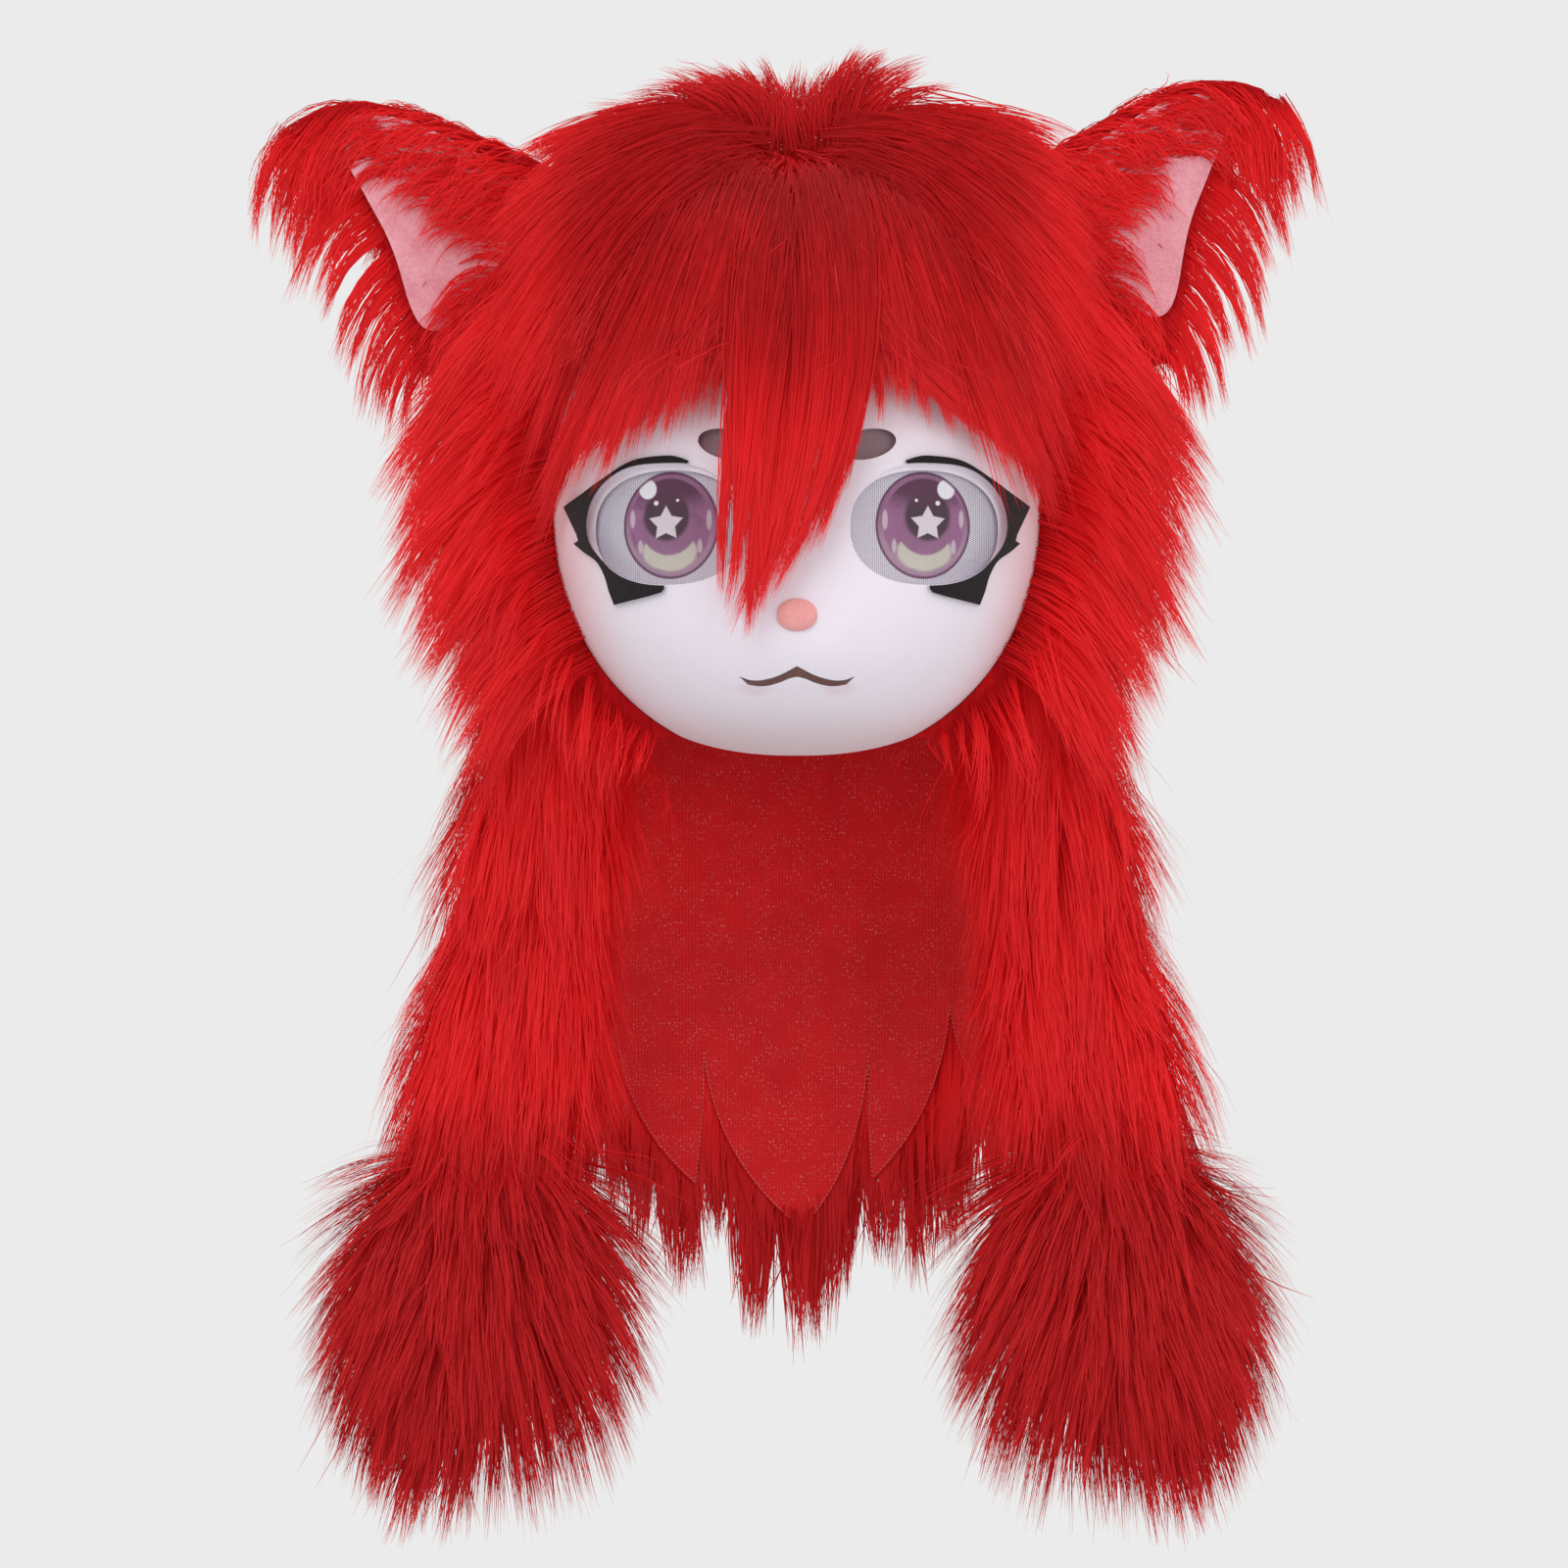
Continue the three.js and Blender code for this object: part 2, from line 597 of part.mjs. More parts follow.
// The plush that lies in the cup of the ear, from its base to short of the tip.
function earLining(side, grow) {
  const sections = [0, 0.22, 0.43, 0.64, LINING_REACH].map(sectionAt);
  const thick = LINING_THICK * 3;
  return earLoft(earFrame(EARS[side]), sections, LINING_SHARE, thick, -EAR_THICK / 2, grow);
}

// Flaps and paws, made for the right side

// A ring of points round a level section, as a rounded rectangle.
function levelRing(middle, width, thick, sides = 10) {
  return Array.from({ length: sides }, (_, i) => {
    const angle = (i / sides) * 2 * Math.PI;
    const x = (width / 2) * signedPower(Math.cos(angle), 0.85);
    const y = (thick / 2) * signedPower(Math.sin(angle), 0.85);
    return new THREE.Vector3(middle.x + x, middle.y + y, middle.z);
  });
}

// A row of locks round a level section.
function ringLocks(middle, width, thick, row, length, grow) {
  return Array.from({ length: row.count }, (_, i) => {
    const angle = ((i + 0.5) / row.count) * 2 * Math.PI;
    const outward = new THREE.Vector3(Math.cos(angle) * thick, Math.sin(angle) * width, 0).normalize();
    const root = new THREE.Vector3(middle.x + (width / 2 - LOCK_THICK / 3) * Math.cos(angle),
      middle.y + (thick / 2 - LOCK_THICK / 3) * Math.sin(angle), middle.z);
    return hangingLock(root, outward, length * row.length * stagger(i), LOCK_WIDTH * row.width,
      LOCK_THICK * 0.8, row.flare, grow);
  });
}

function between(sections, down) {
  const next = Math.max(1, sections.findIndex((section) => section.down >= down));
  const [a, b] = [sections[next - 1], sections[next]];
  const share = (down - a.down) / (b.down - a.down);
  return Object.fromEntries(Object.keys(a).map((column) => [column, lerp(a[column], b[column], share)]));
}

function flapMiddle({ down, out }) {
  return new THREE.Vector3(FLAP_OUT + out * FLAP_SPLAY, FLAP_BACK, FLAP_TOP - down * FLAP_LENGTH);
}

function flap(grow) {
  const rings = FLAP_SECTIONS.map((section) => levelRing(flapMiddle(section),
    FLAP_WIDTH * section.width + 2 * grow, FLAP_THICK * section.thick + 2 * grow));
  const body = loft(rings);
  const rows = FLAP_ROWS.flatMap((row) => {
    const section = between(FLAP_SECTIONS, row.down);
    return ringLocks(flapMiddle(section), FLAP_WIDTH * section.width, FLAP_THICK * section.thick, row, FLAP_LOCK,
      grow);
  });
  return fuse([body, ...rows]);
}

function pawMiddle({ down }) {
  const top = FLAP_TOP - FLAP_LENGTH + PAW_LAP;
  return new THREE.Vector3(FLAP_OUT + FLAP_SPLAY + down * PAW_SPLAY, FLAP_BACK, top - down * PAW_LENGTH);
}

function paw(grow) {
  const rings = PAW_SECTIONS.map((section) => levelRing(pawMiddle(section),
    PAW_WIDTH * section.width + 2 * grow, PAW_THICK * section.thick + 2 * grow));
  const body = loft(rings);
  const rows = PAW_ROWS.flatMap((row) => {
    const section = between(PAW_SECTIONS, row.down);
    return ringLocks(pawMiddle(section), PAW_WIDTH * section.width, PAW_THICK * section.thick, row, PAW_LOCK, grow);
  });
  return fuse([body, ...rows]);
}

// Cape: a curved cloth that hangs from the rear of the neck opening, with fur on its far side.

const capeTop = neckHeight(CAPE_BACK) + 2 * HOOD_WALL;

// A point of the cape's cloth, across its half width and down its length, moved back by a depth.
function capePoint(across, down, depth) {
  const y = CAPE_BACK - CAPE_CURVE * across * across - CAPE_LEAN * down;
  return new THREE.Vector3(across * (CAPE_WIDTH / 2), y + depth, capeTop - down * CAPE_LENGTH);
}

function capeSheet(depth, thick, columns, rows, share = 1, reach = 1) {
  const sections = Array.from({ length: columns + 1 }, (_, column) => {
    const across = lerp(-share, share, column / columns);
    const line = Array.from({ length: rows + 1 }, (_, row) => lerp(1 - share, reach, row / rows));
    return [
      ...line.map((down) => capePoint(across, down, depth)),
      ...line.reverse().map((down) => capePoint(across, down, depth + thick)),
    ];
  });
  return loft(sections);
}

// The cape's outline seen from the front, with one leaf-shaped lobe to each row of the table.
function capeOutline() {
  const place = ([across, down]) => [across * (CAPE_WIDTH / 2), capeTop - down * CAPE_LENGTH];
  const shape = new THREE.Shape();
  shape.moveTo(-FAR, FAR);
  shape.lineTo(...place([-1, -1]));
  shape.lineTo(...place([-1, CAPE_EDGE_DOWN]));
  let start = [-1, CAPE_EDGE_DOWN];
  for (const { tip, notch } of CAPE_LOBES) {
    const end = notch ?? [1, CAPE_EDGE_DOWN];
    const bulge = (edge) => [lerp(edge[0], tip[0], 0.12), lerp(edge[1], tip[1], 0.62)];
    shape.quadraticCurveTo(...place(bulge(start)), ...place(tip));
    shape.quadraticCurveTo(...place(bulge(end)), ...place(end));
    start = end;
  }
  shape.lineTo(...place([1, -1]));
  shape.lineTo(FAR, FAR);
  return shape;
}

function capeFur() {
  const rear = CAPE_CLOTH;
  const slab = capeSheet(0, CAPE_CLOTH + CAPE_FUR, 6, 3, 0.97, CAPE_FUR_DOWN);
  const outward = new THREE.Vector3(0, 1, 0);
  const rows = CAPE_ROWS.flatMap((row) => Array.from({ length: row.count }, (_, i) => {
    const across = lerp(-0.76, 0.72, i / (row.count - 1));
    const root = capePoint(across, row.down, rear + CAPE_FUR * 0.7);
    return hangingLock(root, outward, CAPE_LOCK * row.length * stagger(i), LOCK_WIDTH, LOCK_THICK, row.flare);
  }));
  const tips = Array.from({ length: CAPE_TIPS }, (_, i) => {
    const across = lerp(-0.85, 0.87, i / (CAPE_TIPS - 1));
    const tip = lerp(CAPE_HEM_MIDDLE, CAPE_HEM_SIDE, Math.abs(across) ** 1.5);
    const root = capePoint(across, CAPE_FUR_DOWN - 0.03, rear + CAPE_FUR * 0.55);
    return hangingLock(root, outward, (tip - CAPE_FUR_DOWN) * CAPE_LENGTH * stagger(i), LOCK_WIDTH * 0.9,
      LOCK_THICK, 2);
  });
  return fuse([slab, ...rows, ...tips]);
}

// Face: its shell, and the parts that are let into it or lie on it

// A layer of the face between two offsets, inside a shape drawn for the right side. The form's facets aren't
// alike on both sides, so a left piece is cut from the form itself, and not mirrored.
function followFace(shape, inner, outer, place) {
  return place(pushThrough(shape, -FAR, -FACE_EDGE)).intersect(carve(headForm(outer), headForm(inner)));
}

function eyeShape(grow = 0) {
  return superellipse(EYE_WIDTH + 2 * grow, EYE_TALL + 2 * grow, EYE_SQUARENESS, [EYE_OUT, EYE_HEIGHT]);
}

function rimShape(grow = 0) {
  return superellipse(EYE_WIDTH + RIM_WIDTH + 2 * grow, EYE_TALL + RIM_WIDTH / 2 + 2 * grow, EYE_SQUARENESS,
    [EYE_OUT + RIM_WIDTH / 2, EYE_HEIGHT]);
}

function browShape(grow = 0) {
  return superellipse(BROW_WIDTH + 2 * grow, BROW_TALL + 2 * grow, 2, [BROW_OUT, BROW_HEIGHT], 12, 16);
}

function lashShape() {
  const place = ([across, up]) => new THREE.Vector2(EYE_OUT + across * (EYE_WIDTH / 2),
    EYE_HEIGHT + up * (EYE_TALL / 2));
  const shape = new THREE.Shape();
  shape.moveTo(...place([-0.2, 0.96]));
  [...LASH_TOP, ...LASH_SPIKES, ...LASH_LOW, ...LASH_FOOT].forEach((point) => shape.lineTo(...place(point)));
  shape.lineTo(...place([0.05, -0.9]));
  shape.lineTo(...place([0.05, 0.96]));
  return shape;
}

function mouthShape(grow = 0) {
  const place = (offset) => ([across, up]) => new THREE.Vector2(
    across * (MOUTH_WIDTH / 2 + 3 * grow), MOUTH_HEIGHT + up * MOUTH_TALL + offset);
  const right = [...MOUTH_UPPER.map(place(1.5 * grow)), ...MOUTH_LOWER.map(place(-1.5 * grow))];
  const left = right.slice(1, -1).reverse().map((point) => new THREE.Vector2(-point.x, point.y));
  return new THREE.Shape([...right, ...left]);
}

function faceShell() {
  const wall = carve(headForm(0), headForm(-FACE_WALL), belowNeck(0)).intersect(faceZone(0));
  const through = [eyeShape(), browShape()].map((shape) => pushThrough(shape, -FAR, -FACE_EDGE - FACE_WALL));
  const ledge = carve(pushThrough(rimShape(), -FAR, -FACE_EDGE - FACE_WALL), headForm(-RIM_DEPTH));
  const groove = carve(pushThrough(mouthShape(CLEARANCE), -FAR, -FACE_EDGE), headForm(-MOUTH_INLAY - CLEARANCE));
  return carve(wall, ...[...through, ledge].flatMap((cut) => [cut, mirrored(cut)]), groove);
}

function hoodShell() {
  return carve(headForm(0), headForm(-HOOD_WALL), belowNeck(0), faceZone(CLEARANCE));
}

// The mesh that is glued behind an opening of the face.
function screen(shape, place) {
  const back = -FACE_WALL - CLEARANCE;
  return followFace(shape, back - SCREEN, back, place);
}

function lash(place) {
  return carve(followFace(lashShape(), CLEARANCE, CLEARANCE + LASH_THICK, place),
    place(pushThrough(rimShape(CLEARANCE), -FAR, -FACE_EDGE)));
}

function nose() {
  const pad = new THREE.SphereGeometry(1, 12, 8).scale(NOSE_WIDTH / 2, NOSE_OUT * 1.6, NOSE_TALL / 2);
  return carve(solid(pad.translate(0, faceY(0, NOSE_HEIGHT, 0) + NOSE_OUT * 0.6, NOSE_HEIGHT)), headForm(CLEARANCE));
}

// Materials

const cloth = (color, roughness = 0.95) => new THREE.MeshStandardMaterial({ color, roughness, metalness: 0 });
const redFur = cloth(0xc01a20);
const redKnit = cloth(0xa8181d);
const whitePlush = cloth(0xe8dde4);
const pinkPlush = cloth(0xd8899a);
const blackFelt = cloth(0x1b1719, 0.8);
const eyeMesh = cloth(0xb9a6b6, 0.7);
const nosePad = cloth(0xec9c98, 0.7);
const mouthFelt = cloth(0x5f3a37);

// Assembly: the pieces are cut back from what carries them, so that a named clearance is left between them.

const rightFlap = carve(flap(0), headBlock);
const grownFlap = flap(CLEARANCE);
const capeBlock = capeSheet(-CLEARANCE, CAPE_CLOTH + 2 * CLEARANCE, CAPE_COLUMNS, 4, 1 + CLEARANCE / 50);
const earBlocks = fuse([mirrored(ear("left", CLEARANCE)), ear("right", CLEARANCE)]);
const coatOnHead = carve(hoodCoat(0), headForm(CLEARANCE), faceZone(CLEARANCE), earBlocks, capeBlock,
  grownFlap, mirrored(grownFlap));
const grownCoat = hoodCoat(CLEARANCE);
const frontOfFace = headForm(LASH_THICK + 2 * CLEARANCE);
const centerFringe = carve(fringe(FRINGE_LOCKS.fringe_center, 0), frontOfFace, grownCoat);
const centerBlock = fringe(FRINGE_LOCKS.fringe_center, CLEARANCE);
const capeCloth = carve(
  capeSheet(0, CAPE_CLOTH, CAPE_COLUMNS, 4).intersect(pushThrough(capeOutline(), -FAR, FAR)),
  headBlock, grownFlap, mirrored(grownFlap),
);

const head = new THREE.Group();
head.add(
  meshOf("face_shell", faceShell(), whitePlush),
  meshOf("hood_shell", hoodShell(), redKnit),
  meshOf("hood_fur", coatOnHead, redFur),
  meshOf("fringe_center", centerFringe, redFur),
  meshOf("crown_tuft", carve(crownTuft(0), grownCoat), redFur),
  meshOf("nose", nose(), nosePad),
  meshOf("mouth", followFace(mouthShape(), -MOUTH_INLAY, CLEARANCE, asDrawn), mouthFelt),
  meshOf("neck_cape", capeCloth, redKnit),
  meshOf("cape_fur", carve(capeFur(), headBlock, grownCoat, capeBlock, grownFlap,
    mirrored(grownFlap)), redFur),
);

for (const side of ["left", "right"]) {
  const place = side === "left" ? mirrored : asDrawn;
  const lining = earLining(side, 0);
  const earBody = carve(ear(side, 0), headBlock, earLining(side, CLEARANCE));
  const bangs = `fringe_${side}`;
  head.add(
    meshOf(bangs, carve(fringe(FRINGE_LOCKS[bangs], 0), frontOfFace, grownCoat, centerBlock), redFur),
    meshOf(`ear_${side}`, place(earBody), redFur),
    meshOf(`ear_lining_${side}`, place(carve(lining, headBlock)), pinkPlush),
    meshOf(`eye_screen_${side}`, screen(eyeShape(SCREEN_LAP), place), eyeMesh),
    meshOf(`brow_screen_${side}`, screen(browShape(SCREEN_LAP / 2), place), eyeMesh),
    meshOf(`lash_${side}`, lash(place), blackFelt),
    meshOf(`flap_${side}`, place(rightFlap), redFur),
    meshOf(`paw_${side}`, place(carve(paw(0), grownFlap)), redFur),
  );
}

// The origin is the crown seat, at the top of the hollow.
head.position.z = HOOD_WALL - HEAD_HEIGHT;
const part = new THREE.Group();
part.add(head);

export default part;
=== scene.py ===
"""Dresses the long-haired cat head.

Its pieces are the plush mask, printed eye meshes, felt lashes, fur coat, ears, flaps, paws and cape. Forms
are worked out in millimetres in the head's own frame, whose zero height is the chin line, and are then put
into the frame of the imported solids, in metres.
"""

from __future__ import annotations

import logging
import math
from collections.abc import Callable, Sequence
from dataclasses import dataclass, field
from enum import Enum
from functools import reduce
from typing import ClassVar

import bmesh
import bpy
import numpy as np
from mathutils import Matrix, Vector
from mathutils.bvhtree import BVHTree
from mathutils.geometry import delaunay_2d_cdt
from mathutils.kdtree import KDTree

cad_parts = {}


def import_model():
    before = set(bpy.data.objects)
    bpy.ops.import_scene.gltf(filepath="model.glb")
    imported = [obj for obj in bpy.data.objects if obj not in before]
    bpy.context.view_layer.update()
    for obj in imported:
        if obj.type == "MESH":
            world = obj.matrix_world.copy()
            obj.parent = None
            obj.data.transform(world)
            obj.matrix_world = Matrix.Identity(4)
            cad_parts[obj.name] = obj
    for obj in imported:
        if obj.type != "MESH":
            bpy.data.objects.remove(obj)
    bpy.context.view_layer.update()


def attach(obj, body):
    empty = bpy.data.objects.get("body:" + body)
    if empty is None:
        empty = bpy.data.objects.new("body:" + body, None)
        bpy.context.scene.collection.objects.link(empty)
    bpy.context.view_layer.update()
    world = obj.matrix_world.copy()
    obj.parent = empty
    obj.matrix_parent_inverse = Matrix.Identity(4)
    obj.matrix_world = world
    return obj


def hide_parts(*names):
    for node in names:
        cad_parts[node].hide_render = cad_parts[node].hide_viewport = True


LOG = logging.getLogger("head")

FORM_DROP = 303.0
METRE = 1000.0
FAR = 600.0
NECK_FRONT = 62.0
NECK_FRONT_HEIGHT = 4.0
NECK_TILT = math.radians(17.5)
FACE_EDGE = 30.0
HAIRLINE = 205.0
GAP = 0.35
DOWN = np.array([0.0, 0.0, -1.0])

Array = np.ndarray
Pair = tuple[float, float]
Triple = tuple[float, float, float]
Colour = Triple
Outline = list[Pair]


class Side(Enum):
    """The two sides of the head, as the sign of their x."""

    LEFT = -1
    RIGHT = 1

    @property
    def word(self) -> str:
        """The side's name in piece names."""
        return self.name.lower()


class Cut(Enum):
    """What a tool does to a body."""

    TAKE = "DIFFERENCE"
    KEEP = "INTERSECT"


def srgb(red: float, green: float, blue: float) -> Colour:
    """Turns a screen colour into a linear one.

    Args:
        red, green, blue: channels from 0 to 255.

    Returns:
        The linear colour.
    """

    def one(value: float) -> float:
        """Linear value of one channel."""
        value /= 255.0
        return value / 12.92 if value <= 0.04045 else ((value + 0.055) / 1.055) ** 2.4

    return one(red), one(green), one(blue)


def unit(vectors: Array) -> Array:
    """Vectors scaled to a length of one."""
    return vectors / np.maximum(np.linalg.norm(vectors, axis=-1, keepdims=True), 1e-9)


def signed_power(value: Array, power: Array | float) -> Array:
    """Power of a value's size, with its sign kept."""
    return np.sign(value) * np.abs(value) ** power


def ease(value: Array | float, low: float, high: float) -> Array:
    """Smooth step of a value from 0 at low to 1 at high."""
    share = np.clip((np.asarray(value, float) - low) / (high - low), 0.0, 1.0)
    return share * share * (3.0 - 2.0 * share)


def flowing(points: Sequence[Sequence[float]], count: int) -> Array:
    """A smooth line through points.

    Args:
        points: the points to pass through.
        count: number of points wanted on each stretch.

    Returns:
        The line's points, the first and last point included.
    """
    line = np.asarray(points, float)
    padded = np.vstack([2 * line[0] - line[1], line, 2 * line[-1] - line[-2]])
    made = []
    for index in range(len(line) - 1):
        a, b, c, d = padded[index : index + 4]
        share = np.linspace(0, 1, count, endpoint=False)[:, None]
        made.append(
            0.5
            * (
                2 * b
                + (c - a) * share
                + (2 * a - 5 * b + 4 * c - d) * share**2
                + (3 * b - a - 3 * c + d) * share**3
            )
        )
    return np.vstack([*made, line[-1:]])


def read_table(table: Array, at: Array | float) -> Array:
    """Values of a table between its rows.

    Args:
        table: rows of a key and its values, in rising order of the key.
        at: keys to read at.

    Returns:
        One row of values for each key.
    """
    columns = range(1, table.shape[1])
    return np.stack([np.interp(at, table[:, 0], table[:, column]) for column in columns], axis=-1)


class Wire:
    """A value in a node tree, on which arithmetic adds Math nodes."""

    def __init__(self, graph: "Graph", socket: bpy.types.NodeSocket) -> None:
        """Holds the tree and the output socket that gives the value."""
        self.graph = graph
        self.socket = socket

    def __add__(self, other: "Wire | float") -> "Wire":
        """Sum."""
        return self.graph.math("ADD", self, other)

    def __radd__(self, other: float) -> "Wire":
        """Sum with a number on the left."""
        return self.graph.math("ADD", other, self)

    def __sub__(self, other: "Wire | float") -> "Wire":
        """Difference."""
        return self.graph.math("SUBTRACT", self, other)

    def __rsub__(self, other: float) -> "Wire":
        """Difference from a number."""
        return self.graph.math("SUBTRACT", other, self)

    def __mul__(self, other: "Wire | float") -> "Wire":
        """Product."""
        return self.graph.math("MULTIPLY", self, other)

    def __truediv__(self, other: "Wire | float") -> "Wire":
        """Quotient."""
        return self.graph.math("DIVIDE", self, other)

    def size(self) -> "Wire":
        """Absolute value."""
        return self.graph.math("ABSOLUTE", self)

    def root(self) -> "Wire":
        """Square root."""
        return self.graph.math("SQRT", self)

    def sine(self) -> "Wire":
        """Sine."""
        return self.graph.math("SINE", self)

    def most(self, other: "Wire | float") -> "Wire":
        """Larger of two values."""
        return self.graph.math("MAXIMUM", self, other)

    def between(self, low: float, high: float) -> "Wire":
        """Smooth step from 0 at low to 1 at high, where low may be the larger."""
        return self.graph.step(self, low, high)


class Graph:
    """A material's node tree while it is being filled."""

    def __init__(self, name: str) -> None:
        """Starts a material of this name with an empty tree."""
        self.material = bpy.data.materials.new(name)
        self.material.use_nodes = True
        self.tree = self.material.node_tree
        self.tree.nodes.clear()

    def add(self, kind: str, **settings: object) -> bpy.types.Node:
        """Adds a node and sets its properties."""
        node = self.tree.nodes.new(kind)
        for key, value in settings.items():
            setattr(node, key, value)
        return node

    def feed(self, socket: bpy.types.NodeSocket, value: object) -> None:
        """Links a wire or socket to an input, or sets a number or colour on it."""
        if isinstance(value, Wire):
            self.tree.links.new(value.socket, socket)
        elif isinstance(value, bpy.types.NodeSocket):
            self.tree.links.new(value, socket)
        elif isinstance(value, tuple) and len(value) == 3 and socket.type == "RGBA":
            socket.default_value = (*value, 1.0)
        else:
            socket.default_value = value

    def math(self, operation: str, *values: "Wire | float") -> Wire:
        """Adds a Math node on the values."""
        node = self.add("ShaderNodeMath", operation=operation)
        for socket, value in zip(node.inputs, values):
            self.feed(socket, value)
        return Wire(self, node.outputs[0])

    def step(self, value: Wire, low: float, high: float) -> Wire:
        """Adds a smooth step of a value."""
        node = self.add("ShaderNodeMapRange", interpolation_type="SMOOTHSTEP")
        self.feed(node.inputs[0], value)
        swapped = low > high
        bounds = (min(low, high), max(low, high), float(swapped), float(not swapped))
        for socket, bound in zip(node.inputs[1:5], bounds):
            socket.default_value = bound
        return Wire(self, node.outputs[0])

    def place(self) -> tuple[Wire, Wire, Wire]:
        """Object coordinates as three wires, in the head's millimetres."""
        where = self.add("ShaderNodeTexCoord").outputs["Object"]
        split = self.add("ShaderNodeSeparateXYZ")
        self.feed(split.inputs[0], where)
        x, y, z = (Wire(self, socket) * METRE for socket in split.outputs)
        return x, y, z + FORM_DROP

    def mapped(self, vector: bpy.types.NodeSocket, scale: Triple) -> bpy.types.NodeSocket:
        """A vector through a Mapping node of a scale."""
        mapping = self.add("ShaderNodeMapping")
        self.feed(mapping.inputs["Vector"], vector)
        mapping.inputs["Scale"].default_value = scale
        return mapping.outputs[0]

    def where(self, scale: Triple = (1.0, 1.0, 1.0)) -> bpy.types.NodeSocket:
        """Object coordinates through a Mapping node of a scale."""
        return self.mapped(self.add("ShaderNodeTexCoord").outputs["Object"], scale)

    def attribute(self, name: str) -> Wire:
        """A number attribute of the mesh."""
        return Wire(self, self.add("ShaderNodeAttribute", attribute_name=name).outputs["Fac"])

    def noise(
        self,
        vector: bpy.types.NodeSocket,
        scale: float,
        detail: float = 3.0,
        rough: float = 0.55,
    ) -> Wire:
        """Noise from 0 to 1 round 0.5."""
        node = self.add("ShaderNodeTexNoise")
        self.feed(node.inputs["Vector"], vector)
        node.inputs["Scale"].default_value = scale
        node.inputs["Detail"].default_value = detail
        node.inputs["Roughness"].default_value = rough
        return Wire(self, node.outputs["Fac"])

    def mix(self, factor: "Wire | float", low: object, high: object) -> bpy.types.NodeSocket:
        """Mixes two colours."""
        node = self.add("ShaderNodeMix", data_type="RGBA")
        self.feed(node.inputs[0], factor)
        self.feed(node.inputs[6], low)
        self.feed(node.inputs[7], high)
        return node.outputs[2]

    def ramp(self, factor: Wire, stops: Sequence[tuple[float, Colour]]) -> bpy.types.NodeSocket:
        """Colour ramp through stops."""
        node = self.add("ShaderNodeValToRGB")
        self.feed(node.inputs[0], factor)
        elements = node.color_ramp.elements
        while len(elements) < len(stops):
            elements.new(0.5)
        for element, (position, colour) in zip(elements, stops):
            element.position = position
            element.color = (*colour, 1.0)
        return node.outputs[0]

    def dim(self, colour: object, amount: "Wire | float") -> bpy.types.NodeSocket:
        """Scales a colour's brightness."""
        node = self.add("ShaderNodeVectorMath", operation="SCALE")
        self.feed(node.inputs[0], colour)
        self.feed(node.inputs["Scale"], amount)
        return node.outputs[0]

    def bump(self, height: Wire, strength: float, distance: float) -> bpy.types.NodeSocket:
        """Bump normal of a height."""
        node = self.add("ShaderNodeBump")
        node.inputs["Strength"].default_value = strength
        node.inputs["Distance"].default_value = distance
        self.feed(node.inputs["Height"], height)
        return node.outputs[0]

    def finish(self, **inputs: object) -> bpy.types.Material:
        """Ends the tree in a Principled shader.

        Args:
            inputs: its inputs, by their names with underscores.

        Returns:
            The material.
        """
        shader = self.add("ShaderNodeBsdfPrincipled")
        for name, value in inputs.items():
            self.feed(shader.inputs[name.replace("_", " ")], value)
        end = self.add("ShaderNodeOutputMaterial")
        self.tree.links.new(shader.outputs[0], end.inputs[0])
        return self.material


@dataclass(frozen=True)
class StrandFinish:
    """Long soft pile: painted shade at its roots, round the whorl and on the paws, painted highlight at its
    tips, a glow that is painted light lifting its shade, and varied from lock to lock.
    """

    name: str = "red long pile"
    # painted light along each strand: the darker root colour is painted shade, the brighter tip colour a
    # painted highlight
    root: Colour = srgb(166, 8, 13)
    middle: Colour = srgb(206, 18, 23)
    tip: Colour = srgb(230, 42, 46)
    low: float = 0.9
    spread: float = 0.2
    patches: float = 0.2
    # strength of the painted shade on the paws
    paw_shade: float = 0.49
    # strength of the painted shade over the front top of the head round the whorl
    whorl_shade: float = 0.29
    # strength of a painted glow, light that the strands give off in their own colour
    glow: float = 0.2

    def build(self) -> bpy.types.Material:
        """Makes the material."""
        graph = Graph(self.name)
        along = graph.attribute("along")
        tone = graph.attribute("tone")
        x, y, z = graph.place()
        patch = graph.noise(graph.where(), 18.0, 2.0)
        # painted shade at the roots turning to a painted highlight at the tips
        colour = graph.ramp(along, [(0.0, self.root), (0.3, self.middle), (1.0, self.tip)])
        light = tone * self.spread + self.low + (patch - 0.5) * self.patches
        # painted shade darkening the fur down onto the paws, less on the strand tips, with some of the paws'
        # own deeper red
        paw = z.between(-165.0, -235.0) * (1.0 - along * 0.55)
        # painted shade over the front top of the head round the whorl, less on the strand tips
        whorl = z.between(150.0, 215.0) * x.size().between(140.0, 105.0) * y.between(10.0, -50.0)
        whorl = whorl * (1.0 - along.between(0.6, 1.0) * 0.8)
        light = light * (1.0 - paw * self.paw_shade) * (1.0 - whorl * self.whorl_shade)
        colour = graph.dim(colour, light)
        return graph.finish(
            Base_Color=colour,
            # painted light: the strands glow in their own colour, most at the roots, to lift the shade
            # between them
            Emission_Color=colour,
            Emission_Strength=(1.25 - along) * self.glow,
            Roughness=0.62,
            Specular_IOR_Level=0.12,
        )


